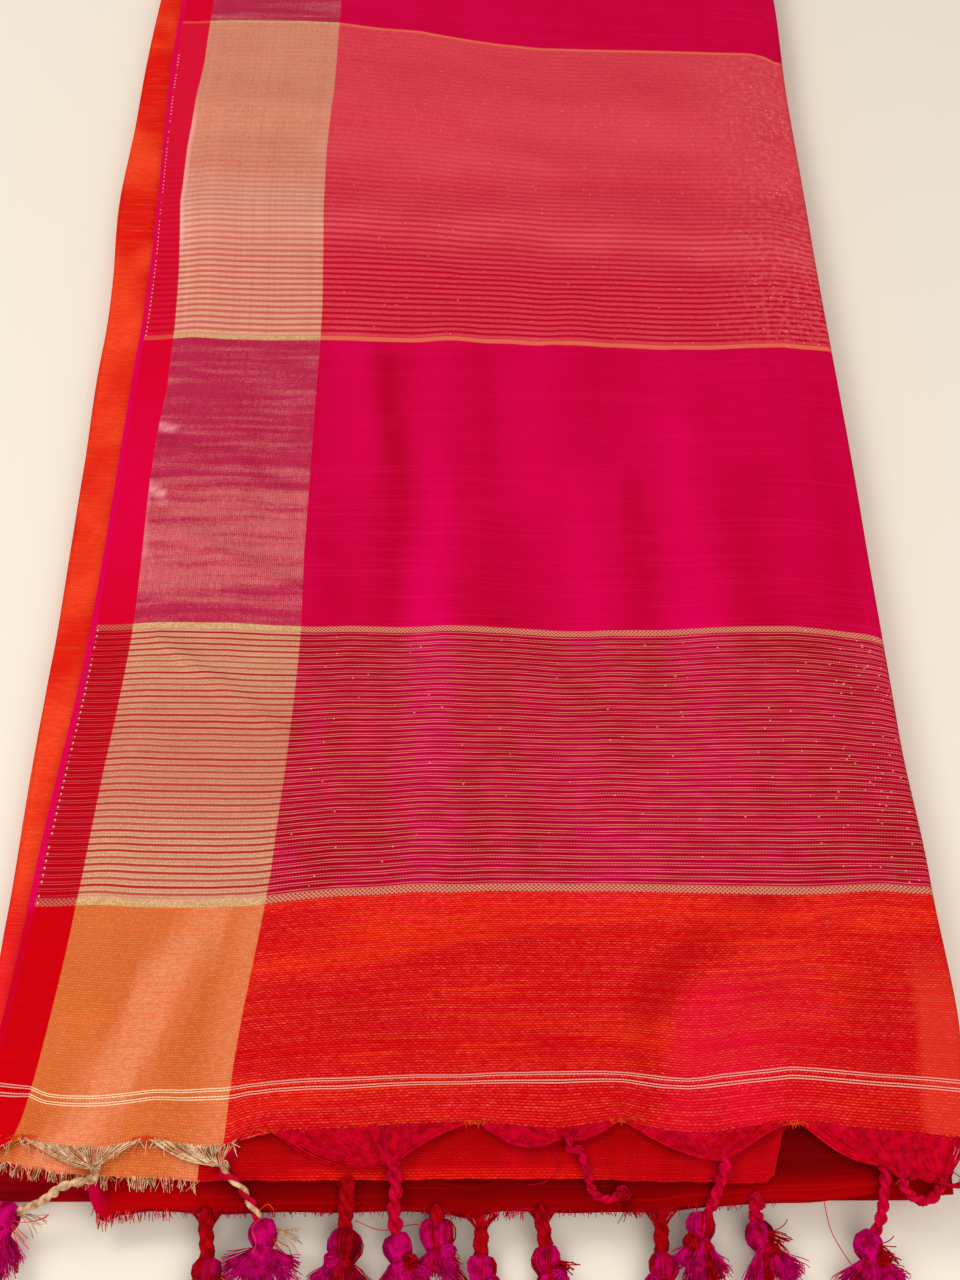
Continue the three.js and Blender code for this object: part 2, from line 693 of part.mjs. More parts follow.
function solidOf(geometry) {
  const bare = geometry.index ? geometry.toNonIndexed() : geometry.clone();
  bare.deleteAttribute("normal");
  bare.deleteAttribute("uv");
  const merged = mergeVertices(bare, 1e-4);
  return new wasm.Manifold(
    new wasm.Mesh({
      numProp: 3,
      vertProperties: merged.attributes.position.array,
      triVerts: new Uint32Array(merged.index.array),
    }),
  );
}

function geometryFrom(solid) {
  const mesh = solid.getMesh();
  const geometry = new THREE.BufferGeometry();
  geometry.setAttribute("position", new THREE.BufferAttribute(mesh.vertProperties, mesh.numProp));
  geometry.setIndex(new THREE.BufferAttribute(mesh.triVerts, 1));
  return geometry;
}

function curveThrough(points) {
  return new THREE.CatmullRomCurve3(points, false, "centripetal");
}

// A tassel: a cord from the cloth's edge, a round head, and locks that spread from it over the surface.
// What lies under the cord is looked for as far as overlap beyond its middle line.
function tassel(row, edgeZ, edgeY, overlap) {
  const start = edgeY - 3 * GAP;
  const corners = [[row.x, start], [row.x, start - CORD_RADIUS], ...row.cord];
  const plan = curveThrough(corners.map(([x, y]) => new THREE.Vector3(x, y, 0)));
  const steps = 2 * row.cord.length + 1;
  const knotted = row.head === 0;
  const path = plan.getSpacedPoints(steps).map((point, i) => {
    const straight = edgeZ + ((row.head - edgeZ) * i) / steps;
    const resting = restingZ(point.x, point.y - CORD_RADIUS, point.y + overlap);
    const clear = resting + CORD_RADIUS + CORD_GAP;
    const lying = knotted ? clear + (i === steps ? KNOT_RADIUS - CORD_RADIUS : 0) : Math.max(straight, clear);
    return new THREE.Vector3(point.x, point.y, i === steps && !knotted ? row.head : lying);
  });
  const section = new THREE.Shape(
    run(0, 2 * Math.PI, CORD_SIDES)
      .slice(0, -1)
      .map((angle) => new THREE.Vector2(CORD_RADIUS * Math.cos(angle), CORD_RADIUS * Math.sin(angle))),
  );
  const cord = new THREE.ExtrudeGeometry(section, {
    extrudePath: curveThrough(path),
    steps,
    bevelEnabled: false,
  });
  const centre = path.at(-1);
  const headRadius = knotted ? KNOT_RADIUS : HEAD_RADIUS;
  const head = new THREE.SphereGeometry(headRadius, HEAD_SIDES, HEAD_RINGS);
  head.translate(centre.x, centre.y, centre.z);
  const lockOf = knotted ? shortLock : longLock;
  const locks = run(0, row.locks - 1, row.locks - 1).map((i) => solidOf(lockOf(row, centre, i)));
  return geometryFrom(locks.reduce((sum, solid) => sum.add(solid), solidOf(cord).add(solidOf(head))));
}

// The direction over the surface for an angle in degrees from straight towards the viewer.
function directionAt(angle) {
  const heading = THREE.MathUtils.degToRad(angle);
  return new THREE.Vector3(Math.sin(heading), -Math.cos(heading), 0);
}

// Lock i of a tassel.
function longLock(row, centre, i) {
  const raised = i % 2;
  const form = raised ? RAISED_LOCK : LYING_LOCK;
  const share = i / (row.locks - 1) - 0.5;
  const reach = row.length * (1 - LOCK_ROUNDING * share * share) * form.reach;
  const width = (reach * THREE.MathUtils.degToRad(row.spread)) / row.locks;
  const endRadius = THREE.MathUtils.clamp(width * LOCK_FILL, LOCK_END.least, LOCK_END.most);
  const flat = directionAt(row.angle + row.spread * share * form.spread);
  const start = centre.clone().addScaledVector(flat, HEAD_RADIUS * LOCK_START);
  start.z += form.rootZ;
  const end = centre.clone().addScaledVector(flat, reach);
  end.z = raised ? Math.max(form.leastEndZ, centre.z * form.endShare) : endRadius + form.endClearance;
  return lock(start, end, LOCK_ROOT, endRadius, form.lift);
}

// Lock i of a knot that lies on the cloth.
function shortLock(row, centre, i) {
  const share = i / (row.locks - 1) - 0.5;
  const flat = directionAt(row.angle + row.spread * share);
  const start = centre.clone().addScaledVector(flat, KNOT_RADIUS * KNOT_LOCK.start);
  const end = centre.clone().addScaledVector(flat, row.length);
  end.z = restingZ(end.x, end.y - LOCK_ROOT, end.y + LOCK_ROOT) + LOCK_ROOT + KNOT_LOCK.clearance;
  return lock(start, end, LOCK_ROOT, LOCK_ROOT, KNOT_LOCK.lift);
}

// A row of short cut threads rooted in a narrow strip, which lies just off the cloth's edge.
function fringe(row) {
  const table = row.edge === "second" ? SECOND_EDGE : THIRD_EDGE;
  const height = layerHeight(row.edge === "second" ? 2 : 3);
  const sunk = (x, y) => (row.edge === "second" ? sink(x, y) : 0);
  const edgeY = (x) => along(table, "x", "y", x) - FRINGE_GAP;
  const onEdge = (x, y) => new THREE.Vector3(x + stray(x, y), y, PILE_TOP + height + lie(x, y) - sunk(x, y));
  const columns = run(row.from, row.to, row.strands).map((x) =>
    [edgeY(x), edgeY(x) - FRINGE_STRIP].map((y) => {
      const middle = onEdge(x, y);
      const up = new THREE.Vector3(0, 0, FRINGE_HALF);
      return [middle.clone().add(up), middle.clone().sub(up)];
    }),
  );
  let solid = solidOf(closedGrid(columns));
  run(row.from, row.to, row.strands).slice(1).forEach((end, i) => {
    const x = end - (row.to - row.from) / row.strands / 2;
    const root = onEdge(x, edgeY(x) - FRINGE_STRIP * 0.5);
    const reach = row.reach * (STRAND.even + STRAND.uneven * Math.sin(STRAND_BEAT.reach * i));
    const tip = root.clone().add(new THREE.Vector3(STRAND.sway * Math.sin(STRAND_BEAT.sway * i), -reach, 0));
    tip.z = Math.max(STRAND.leastZ, root.z + lie(x, root.y - reach) - lie(x, root.y));
    solid = solid.add(solidOf(lock(root, tip, STRAND.root, STRAND.tip, 0)));
  });
  return geometryFrom(solid);
}

function piece(name, geometry, finish) {
  const { colour, roughness } = FINISHES[finish];
  const material = new THREE.MeshStandardMaterial({
    color: new THREE.Color(...colour),
    roughness,
    metalness: finish === "gold" ? 0.4 : 0,
  });
  const mesh = new THREE.Mesh(geometry, material);
  mesh.name = name;
  return mesh;
}

const saree = new THREE.Group();
saree.add(piece("pallu_top", topLayer(), "pallu"));
saree.add(piece("pallu_second", secondLayer(), "second"));
saree.add(piece("pallu_third", thirdLayer(), "third"));
saree.add(piece("folded_body", foldedPile(), "body"));
TOP_TASSELS.forEach((row, i) => {
  const y = topEdge(row.x);
  const z = PILE_TOP + layerHeight(1) + lie(row.x, y) + topRise(row.x, y);
  saree.add(piece(`tassel_top_${i + 1}`, tassel(row, z, y, CORD_RADIUS), row.tone));
});
LOWER_TASSELS.forEach((row, i) => {
  const y = along(THIRD_EDGE, "x", "y", row.x);
  const z = PILE_TOP + layerHeight(3) + lie(row.x, y);
  saree.add(piece(`tassel_lower_${i + 1}`, tassel(row, z, y, 0), row.tone));
});
for (const row of FRINGES) saree.add(piece(row.name, fringe(row), row.tone));

const bounds = new THREE.Box3().setFromObject(saree);
const centre = bounds.getCenter(new THREE.Vector3());
saree.position.set(-centre.x, -centre.y, -bounds.min.z);

export default saree;
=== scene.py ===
"""A folded saree lying flat: its cloth, gathered threads, cords and tassels."""

import math

import bpy
import numpy as np
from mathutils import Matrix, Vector


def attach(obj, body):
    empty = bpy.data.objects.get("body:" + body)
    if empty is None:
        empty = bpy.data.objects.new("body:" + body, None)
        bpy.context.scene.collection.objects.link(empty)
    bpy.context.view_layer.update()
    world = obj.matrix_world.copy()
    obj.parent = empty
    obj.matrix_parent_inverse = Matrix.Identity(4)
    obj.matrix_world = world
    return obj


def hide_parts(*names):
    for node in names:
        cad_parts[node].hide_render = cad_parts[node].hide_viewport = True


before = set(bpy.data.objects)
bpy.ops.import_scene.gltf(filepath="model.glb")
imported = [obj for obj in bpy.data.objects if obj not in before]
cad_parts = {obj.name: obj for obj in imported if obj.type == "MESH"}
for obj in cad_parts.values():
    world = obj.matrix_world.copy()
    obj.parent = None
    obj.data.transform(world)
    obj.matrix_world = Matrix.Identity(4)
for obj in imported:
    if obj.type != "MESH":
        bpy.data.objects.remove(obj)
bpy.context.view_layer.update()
rng = np.random.default_rng(7)

MM = 0.001
# From design millimetres to the frame. x runs from the left selvedge, y from the end of the weaving and
# z from the surface.
SHIFT = np.array([-138.7042, -318.7384, 0.0])

# Heights and folds, as in the model's source.
LAYER_WIDTH, RIGHT_FROM = 295, 180
TURN_Z = 8.85
PILE_TOP = 12.5
TURN_Y = 678.65
TURN_MEAN_RADIUS = 8.6
# Heights above the pile of the upper and lower faces that each folded layer shows.
TOP_OUTER, TOP_LOW = 5.2, 0.3
SECOND_UPPER, SECOND_LOW = 3.75, 1.75
THIRD_UPPER, THIRD_LOW = 2.45, 0.45
TOP_FOLD_X = 292.55
CENTRE_FOLD_X = 33
INNER_FOLD_X = 278
PILE_RIGHT, PILE_CORNER = 291, 9.0
SHOULDER_Y, SHOULDER_RUN, SHOULDER_DROP = 5, 25, 4.3
SWELL_HEIGHT, SWELL_LENGTH, SWELL_FADE = 0.5, 400, 200
SINK_FROM, SINK_RUN, SINK_DEPTH = 29, 23, 2
TIP_RISE, TIP_HALF = 1.2, 7
CORD_RADIUS, HEAD_RADIUS = 2.2, 4.4
# Where the closer rows at the near edge end, and the rows round the far turn.
NEAR_ROWS, TURN_ROWS = 14, 14
FOLD_STEPS = 10
TOP_STEP, LOWER_STEP = 2.5, 4.0

# Outlines, as (y, x) or (x, y) rows.
LEFT_STRAY = [(-20, -4), (77, 0), (190, 3.5), (350, 1.5), (590, -8), (690, -9)]
RIGHT_STRAY = [
    (5, 0), (42, 3), (90, 1.6), (150, -0.5), (250, -1), (420, -3), (520, -3.5), (600, -2), (690, -2),
]
PILE_LEFT = [(-25, -5), (79, -8), (187, -10), (353, -14.5), (461, -20.5), (600, -21.5), (690, -20)]
TOP_EDGE = [
    (0, -7), (14, -4), (35, -11), (50, -3), (73, -9.5), (86, 0.5), (123, -9), (149, 2.5),
    (175, -2), (195, 4.5), (221, -6.5), (240, 5), (268, -5.5), (283, -1), (295, -2),
]
SECOND_EDGE = [
    (-2.5, -10), (29, -15), (69, -16.5), (84, -13.5), (172, -12), (228, -13), (232, -9), (236, -4),
    (240, 1), (295, 0),
]
# The second layer's own weaving, which ends a little before its fringe.
SECOND_WOVEN = [
    (-2.5, -6.5), (9, -8), (19, -10.2), (28, -11.9), (39, -12.6), (57, -13), (69, -13.8), (84, -13.4),
    (172, -12.3), (208, -12.8), (229, -13), (234, -12.7), (236.4, -10.8), (238, -4.9), (240, 2.2), (243, 6),
    (295, 6),
]
THIRD_WOVEN = [
    (30, -12), (35.5, -14.5), (37, -19), (39, -22.3), (41.5, -23.4), (44, -21.6), (54, -20.7), (75, -21),
    (107, -20.4), (139, -20.2), (148, -21.8), (157, -20), (200, -20), (216, -18.4), (244, -16.9),
    (268, -15.4), (295, -14.5),
]
THIRD_EDGE = [(30, -23), (75, -23.5), (105, -21.5), (160, -20), (225, -18.5), (295, -17)]

# Folds that the solids have too: x0, y0, x1, y1, height, half width.
MAIN_FOLDS = [
    (128, 90, 132, 350, 1.3, 17),
    (190, 120, 184, 370, 1.1, 16),
    (262, 150, 255, 330, 0.8, 20),
    (280, 84, 212, 2, 1.6, 15),
    (150, 62, 96, 22, 1.0, 18),
    (30, 238, 88, 205, 0.9, 9),
    (20, 432, 285, 418, 1.6, 26),
    (25, 515, 280, 500, 1.8, 30),
    (40, 612, 270, 604, 1.4, 28),
]
# Finer creases of the shells alone.
FINE_FOLDS = [
    (118, 212, 121, 338, 0.7, 6),
    (146, 198, 143, 330, 0.6, 7),
    (172, 215, 175, 344, 0.7, 6),
    (203, 200, 200, 338, 0.5, 8),
    (232, 226, 228, 340, 0.5, 7),
    (14, 268, 24, 261, 0.8, 3.5),
    (15, 301, 24, 296, 0.6, 3.5),
    (24, 290, 68, 268, -0.35, 5),
    (26, 188, 77, 146, 0.6, 4),
    (30, 182, 58, 168, 0.35, 3),
    (86, 400, 130, 392, 0.5, 8),
    (150, 470, 260, 458, 0.7, 10),
    (92, 540, 240, 532, 0.6, 11),
    (262, 70, 196, -2, 0.7, 8),
    (236, 46, 214, 4, 0.6, 7),
    (120, 66, 158, 14, 0.6, 11),
    (88, 18, 150, 12, 0.35, 7),
    (246, 24, 291, 15, 0.5, 8),
    (60, 60, 52, 0, 0.5, 9),
    (30, 40, 34, -3, 0.4, 7),
]

# Painted sheen (above 0) where the shot cloth looks brighter and painted shade (below 0) where it looks
# deeper, in bands over its folds and creases: x0, y0, x1, y1, amount, half width.
PAINTED_SHEEN_AND_SHADE = [
    (88, 350, 91, 268, 0.8, 11), (126, 350, 125, 196, 1.0, 9), (172, 346, 166, 262, 0.5, 12),
    (186, 272, 182, 196, 0.8, 13), (228, 292, 226, 196, 0.8, 13), (224, 350, 222, 300, 0.5, 12),
    (105, 335, 111, 196, -1.0, 8), (150, 240, 152, 196, -0.9, 14), (206, 262, 207, 196, -0.9, 8),
    (192, 345, 196, 282, -0.6, 11), (251, 270, 253, 196, -0.9, 11), (282, 346, 286, 196, -0.6, 10),
    (88, 258, 93, 196, -0.4, 8), (146, 340, 148, 262, -0.5, 8), (126, 196, 131, 140, 0.9, 12),
    (130, 126, 128, 88, 0.5, 16), (222, 192, 214, 100, 0.5, 18), (178, 150, 190, 92, 0.5, 16),
    (276, 120, 262, 84, 0.3, 12), (152, 192, 146, 150, -0.8, 12), (266, 190, 272, 96, -0.7, 18),
    (196, 188, 192, 124, -0.4, 12), (100, 182, 106, 92, -0.4, 10), (234, 60, 244, 40, 0.5, 16),
    (224, 40, 240, 0, 1.0, 18), (214, 22, 210, -6, 0.7, 10), (240, 84, 204, 42, -1.1, 9),
    (206, 46, 192, -2, -0.6, 10), (268, 52, 276, 2, -0.4, 12), (110, 36, 170, 30, -0.35, 14),
    (98, 60, 160, 66, -0.3, 10), (78, 424, 290, 404, 0.9, 11), (78, 480, 170, 462, 0.6, 12),
    (170, 455, 288, 436, -0.6, 9), (84, 448, 150, 440, -0.5, 10), (150, 500, 260, 486, 0.35, 16),
    (90, 540, 240, 530, -0.3, 14), (15, 302, 22, 297.5, 1.2, 1.8), (14, 269, 22, 263.5, 1.4, 1.8),
    (22, 263, 24, 257, 0.5, 2), (15.5, 264, 16.5, 232, 0.6, 3), (15, 294, 45, 281, -0.9, 3.5),
    (45, 281, 70, 267, -0.5, 3), (18.5, 254, 24, 252, -0.7, 3), (13, 440, 14, 380, 1.1, 4),
    (15, 545, 12, 490, -0.5, 4), (84, 240, 92, 205, -0.3, 5),
]

# Values of v where the weaving changes, and from stripe to stripe in the two bands. A thread is half a
# millimetre.
LOW_BAND, PLAIN_ZONE, UP_BAND, PLAIN_END = 80.0, 191.0, 346.0, 566.0
LOW_STRIPE, UP_STRIPE = 2.5, 3.45
THREAD = 0.5
# Lines across the cloth as (x, y) rows, with the value of v that each gets.
WEFT_LINES = [
    (0, [
        (0, -6.5), (9, -5.2), (14, -1.8), (19, -3.7), (27, -4.9), (38, -5.8), (46, -4.4), (52, -2.9),
        (60, -3.9), (68, -4.9), (76, -4.7), (79.5, -2.1), (87, -0.2), (97, 0), (120, 1.6), (141, 3.1),
        (149, 3.4), (156, 2.3), (174, 0.7), (183, 2.8), (192, 4.4), (197, 2.3), (205, 0.1), (212, -0.8),
        (219, -0.2), (227, 1.9), (236, 3.1), (242, 3.6), (251, 3.9), (260, 2.6), (268, 1.6), (286, -0.2),
        (295, -1),
    ]),
    (16, [
        (4.6, 16), (13.7, 14.9), (18.8, 12.5), (23.6, 11.7), (33, 11.1), (41.7, 11.9), (50.7, 12.8),
        (59.6, 13.2), (73, 14.3), (80.3, 15.6), (95.4, 16.7), (113.3, 17.9), (131.4, 18.9), (149.6, 19.1),
        (167.7, 20.1), (186, 20.5), (195, 20.2), (207, 18.6), (212.3, 17.9), (217.4, 18.1), (228, 19.9),
        (234.2, 20.8), (243, 22.1), (252.6, 21.6), (270.5, 20.1), (294, 18.6),
    ]),
    (LOW_BAND, [
        (1, 77.4), (20.5, 77.4), (33.8, 76.4), (47, 76.1), (60, 76.3), (73, 77.1), (86, 79), (99, 80.7),
        (112, 81.6), (125, 82.3), (138, 82.5), (151, 83.3), (177, 83.5), (203, 83.5), (230, 83.1),
        (249, 82.8), (269, 83.7), (297, 83.6),
    ]),
    (PLAIN_ZONE, [
        (6, 195.3), (37, 195.3), (52, 195.4), (67, 194.2), (82, 193.6), (97, 194.4), (126, 193.5),
        (141, 194.4), (156, 194.1), (171, 192.8), (186, 191.8), (200, 193.1), (215, 193.6), (230, 194.8),
        (245, 195.7), (260, 195.1), (275, 194.2), (289, 192.1), (294, 190.3),
    ]),
    (UP_BAND, [
        (2, 349.8), (22, 350), (39, 348.3), (56, 348), (90, 348), (107, 347), (140, 346.6), (157, 346.4),
        (174, 344.7), (191, 344.3), (208, 343.7), (224.5, 342.9), (241, 342.8), (258, 343.9), (275, 344.8),
        (294, 342.6),
    ]),
    (PLAIN_END, [
        (-2, 582.2), (60, 581.2), (79, 580), (99, 575.4), (118, 572.9), (138, 566.8), (157, 561.9),
        (176, 558.7), (195.5, 558.3), (215, 557.7), (253, 556.5), (279.7, 555.4), (286.2, 552.8),
        (291.4, 547.9),
    ]),
]
WOVEN_EDGE = WEFT_LINES[0][1]
# The metallic border's two edges, as (y, x) rows, and their values of u.
BORDER_LEFT = [
    (-2, 11.8), (5, 13.4), (12, 14.1), (22, 14.6), (40, 15), (76, 15.7), (90, 16.2), (130, 15.9), (200, 16),
    (230, 15), (260, 14), (290, 14), (320, 15.4), (344, 14.8), (360, 14.3), (400, 12.4), (440, 10.3),
    (480, 11.2), (520, 13.9), (550, 15.7),
]
BORDER_RIGHT = [
    (-2, 74.7), (22, 74.4), (40, 74.9), (60, 76.2), (76, 77.5), (90, 78.5), (130, 79), (190, 78.7),
    (230, 77.4), (344, 77.3), (370, 76.9), (400, 75.9), (440, 75.3), (480, 75.9), (520, 78.4), (550, 78.9),
]
BORDER_U = (15.5, 77.5)
BORDER_FANS_TO = 80

# Where the threads gather: from x, to x, tip x, tip y, sag of the threads left and right of the tip.
FANS = [
    (14, 52, 37.5, -11, 0.85, 0.35), (52, 79, 74.5, -10, 0.8, 0.3), (87, 149, 124.5, -9.2, 0.95, 0.25),
    (149, 192, 174.5, -1.5, 2.2, 1.2), (192, 242, 222, -7.3, 1.0, 0.3),
    (244.5, 275, 268.4, -8.4, 0.8, 0.45), (269, 294.5, 284, -12.6, 1.05, 0.75),
    (261, 287, 274, -12.2, 0.8, 1.0),
]

# The tassels: node, x at the edge, cord points, head height (0 is a knot on the cloth), heading, length,
# spread and tone.
TOP_TASSELS = [
    ("tassel_top_1", 35, [(27, -16), (18, -19.6), (9, -22.8)], 9, -8, 19, 46, "gold"),
    ("tassel_top_2", 73, [(77, -15), (82, -21), (85.5, -28)], 11.5, 0, 18, 88, "gold"),
    ("tassel_top_3", 123, [(124, -15), (123.5, -22), (125, -30.5)], 8, 10, 17, 56, "magenta"),
    ("tassel_top_4", 175, [(178, -5), (180.3, -12), (182, -16.8), (186, -18.4), (190.5, -16.6)],
     0, 62, 7, 60, "magenta"),
    ("tassel_top_5", 221, [(219.6, -13), (217, -19), (213.8, -24.5)], 10.5, -6, 18, 56, "magenta"),
    ("tassel_top_6", 268, [(268, -12), (267, -18), (266, -23), (262.5, -28.5)], 8, 4, 18, 72, "magenta"),
    ("tassel_top_7", 275.5, [(273.5, -11.5), (273.6, -15), (277.5, -18), (282, -17), (284.5, -13)],
     0, 130, 4, 50, "magenta"),
]
LOWER_TASSELS = [
    ("tassel_lower_1", 68, [(68.5, -29), (69.5, -37.5)], 5.5, -8, 15, 34, "red"),
    ("tassel_lower_2", 109.5, [(109.5, -19), (109, -25), (108.8, -29.5)], 6.5, -4, 18, 62, "red"),
    ("tassel_lower_3", 136, [(136, -23), (136, -26.5)], 7, 4, 16, 54, "red"),
    ("tassel_lower_4", 149, [(149, -27), (149, -36)], 5.5, 0, 14, 22, "red"),
    ("tassel_lower_5", 167, [(167.5, -26), (168.5, -33)], 5.5, 4, 15, 26, "red"),
    ("tassel_lower_6", 202, [(202, -27), (202, -35)], 5.5, -2, 15, 24, "red"),
    ("tassel_lower_7", 230, [(230.5, -22), (230.8, -25.5)], 7, 18, 19, 50, "magenta"),
]

# The finer cords' half widths, and the cord that starts under the second layer and lies on the third.
CORD_THICKNESS = {"tassel_top_4": 1.5, "tassel_top_5": 1.9, "tassel_top_6": 1.9, "tassel_top_7": 1.7}
TOP_THICKNESS, LOWER_THICKNESS, GOLD_THICKNESS = 2.3, 2.4, 1.45
TOP_STRANDS, LOWER_STRANDS = 520, 430
LAID_ON_THIRD = "tassel_lower_2"

# The folded pile, bottom to top: share of its height, near set-back, left shift, right shift.
PILE_STRETCHES = [
    (0.3, -15.5, 0.5, 0), (0.17, -13.5, -1.2, 1.5), (0.18, -11.5, 1.6, -1), (0.17, -9, -0.6, 0.8),
    (0.18, -6.5, 1, -0.6),
]


# Shape of the cloth.

def ease(s):
    return s * s * (3 - 2 * s)


def along(table, at):
    """Eased value of a table of (key, value) rows."""
    keys = np.array([row[0] for row in table], float)
    values = np.array([row[1] for row in table], float)
    at = np.clip(np.asarray(at, float), keys[0], keys[-1])
    i = np.clip(np.searchsorted(keys, at, side="right"), 1, len(keys) - 1)
    share = (at - keys[i - 1]) / (keys[i] - keys[i - 1])
    return values[i - 1] + (values[i] - values[i - 1]) * ease(share)


def straight(table, at):
    keys, values = zip(*table)
    return np.interp(at, keys, values)


def fade(y):
    return np.clip((TURN_Y - y) / SWELL_FADE, 0, 1)


def lie(x, y):
    """Height of the pile's soft swell and of its shoulder at the near end."""
    past = np.maximum(0, SHOULDER_Y - y) / SHOULDER_RUN
    swell = SWELL_HEIGHT * np.sin(2 * np.pi * (y + 0.3 * x) / SWELL_LENGTH)
    return swell * fade(y) - SHOULDER_DROP * past**3


def sink(x, y):
    return SINK_DEPTH * ease(np.clip((SINK_FROM - x) / SINK_RUN, 0, 1)) * fade(y)


def stray(x, y):
    """How far the edges stray sideways at a point."""
    left = along(LEFT_STRAY, y) * np.clip(1 - x / LAYER_WIDTH, 0, 1)
    return left + along(RIGHT_STRAY, y) * ease(np.clip((x - RIGHT_FROM) / (LAYER_WIDTH - RIGHT_FROM), 0, 1))


def fold_rise(fold, x, y):
    x0, y0, x1, y1, height, half = fold
    dx, dy = x1 - x0, y1 - y0
    length = math.hypot(dx, dy)
    share = ((x - x0) * dx + (y - y0) * dy) / length**2
    across = np.abs((x - x0) * dy - (y - y0) * dx) / length / half
    beyond = np.maximum(0, np.maximum(-share, share - 1)) * length / half
    distance = np.minimum(1, np.hypot(across, beyond))
    return height * (0.5 + 0.5 * np.cos(np.pi * distance))


def top_rise(x, y):
    """The folds that the solid has too, and the rise to each cord."""
    tips = [TOP_EDGE[i] for i in range(1, len(TOP_EDGE) - 1)
            if TOP_EDGE[i][1] < TOP_EDGE[i - 1][1] and TOP_EDGE[i][1] < TOP_EDGE[i + 1][1]]
    rise = np.zeros(np.broadcast(x, y).shape)
    for fold in MAIN_FOLDS:
        rise = np.maximum(rise, fold_rise(fold, x, y))
    for tx, ty in tips:
        distance = np.hypot(x - tx, np.maximum(0, y - ty) * 0.8) / TIP_HALF
        rise = np.maximum(rise, TIP_RISE * np.maximum(0, 1 - distance))
    return rise


def fine_rise(x, y):
    """The finer creases, and ripples over the plain zone, at the near edge and over the upper band."""
    rise = sum(fold_rise(fold, x, y) for fold in FINE_FOLDS)
    plain = np.exp(-(((y - 275) / 75) ** 2))
    rise = rise + 0.28 * np.sin(x / 5.1 + 1.4 * np.sin(y / 60)) * plain
    near = np.exp(-np.maximum(0, y - 2) / 14)
    rise = rise + 0.45 * np.sin(x / 6.2 + 0.9 * np.sin(x / 19)) * near
    cross = np.exp(-(((y - 450) / 95) ** 2))
    rise = rise + 0.22 * np.sin(y / 7.3 + 0.9 * np.sin(x / 41)) * cross
    return rise + 0.12 * np.sin(x / 13 + y / 17) * np.sin(y / 9.7 - x / 31)


def edge_fade(x):
    return np.clip((TOP_FOLD_X - x) / 17, 0, 1)


def top_lift(x, y):
    """How far the top layer's outer face stands above its level place."""
    return (top_rise(x, y) + fine_rise(x, y)) * edge_fade(x) - sink(x, y)


def stretch_point(x, height, t, lift):
    """A point at x across, height above the pile, and t along the end stretch or round its far turn."""
    flat = t <= TURN_Y
    y = np.where(flat, t, TURN_Y)
    angle = np.where(flat, 0, t - TURN_Y)
    radius = PILE_TOP + height - TURN_Z
    z = np.where(flat, PILE_TOP + height + lie(x, y) + lift, TURN_Z + radius * np.cos(angle))
    return np.stack([x + stray(x, y), y + np.where(flat, 0, radius * np.sin(angle)), z + 0 * x], -1)


def painted_sheen_at(x, y):
    """Painted sheen (above 0) and painted shade (below 0): how much brighter or deeper the cloth looks."""
    bent = x + 2.6 * np.sin(y / 37 + x / 31) + 0.9 * np.sin(y / 13 + x / 12)
    raised = sum(fold_rise(band[:5] + (band[5] * 1.35,), bent, y + 3 * np.sin(x / 9)) for band in PAINTED_SHEEN_AND_SHADE)
    return np.clip(raised * (0.8 + 0.25 * np.sin(y / 43 + x / 8.3)), -1, 1.3)


def top_z(x, y):
    return PILE_TOP + TOP_OUTER + lie(x, y) + top_lift(x, y)


def rows_from(start, step):
    """Rows along a layer for each column, which starts at its own near edge."""
    shares = np.array([0, 0.04, 0.09, 0.15, 0.22, 0.3, 0.4, 0.5, 0.6, 0.7, 0.8, 0.9])[:, None]
    near = start[None, :] + (NEAR_ROWS - start[None, :]) * shares
    flat = np.linspace(NEAR_ROWS, TURN_Y, int((TURN_Y - NEAR_ROWS) / step))[:, None] + 0 * start[None, :]
    turn = TURN_Y + np.linspace(0, np.pi, TURN_ROWS + 1)[1:, None] + 0 * start[None, :]
    return np.concatenate([near, flat, turn])


def length_along(t):
    """Millimetres along the stretch for a row value, with the turn's angle as its arc."""
    return np.where(t <= TURN_Y, t, TURN_Y + (t - TURN_Y) * TURN_MEAN_RADIUS)


def cloth_uv(x, t):
    """u across and v along, in millimetres, so that each change of the weaving lies on one value."""
    y = length_along(t)
    levels = np.array([level for level, _ in WEFT_LINES], float)
    lines = np.stack([straight(rows, x) for _, rows in WEFT_LINES])
    v = np.zeros_like(y)
    for i in range(len(levels) - 1):
        a, b = lines[i], lines[i + 1]
        inside = (y >= a) & (y < b)
        v = np.where(inside, levels[i] + (levels[i + 1] - levels[i]) * (y - a) / (b - a), v)
    v = np.where(y >= lines[-1], levels[-1] + y - lines[-1], v)
    v = np.where(y < lines[0], y - lines[0], v)
    flat = np.minimum(t, TURN_Y)
    left, right = straight(BORDER_LEFT, flat), straight(BORDER_RIGHT, flat)
    u_left, u_right = BORDER_U
    inside = u_left + (x - left) * (u_right - u_left) / (right - left)
    beyond = u_right + (x - right) * (LAYER_WIDTH - u_right) / (LAYER_WIDTH - right)
    u = np.where(x < left, x * u_left / left, np.where(x < right, inside, beyond))
    return np.stack([u, v], -1)


# Meshes.

def make_piece(name, points, faces, materials, uv, face_slots=None):
    mesh = bpy.data.meshes.new(name)
    mesh.from_pydata(((points + SHIFT) * MM).tolist(), [], faces.tolist())
    for material in materials:
        mesh.materials.append(material)
    layer = mesh.uv_layers.new(name="Cloth")
    index = np.empty(len(mesh.loops), dtype=np.int32)
    mesh.loops.foreach_get("vertex_index", index)
    layer.data.foreach_set("uv", (uv[index] * MM).ravel())
    if face_slots is not None:
        mesh.polygons.foreach_set("material_index", np.asarray(face_slots, dtype=np.int32))
    mesh.shade_smooth()
    mesh.update()
    piece = bpy.data.objects.new(name, mesh)
    bpy.context.scene.collection.objects.link(piece)
    return piece


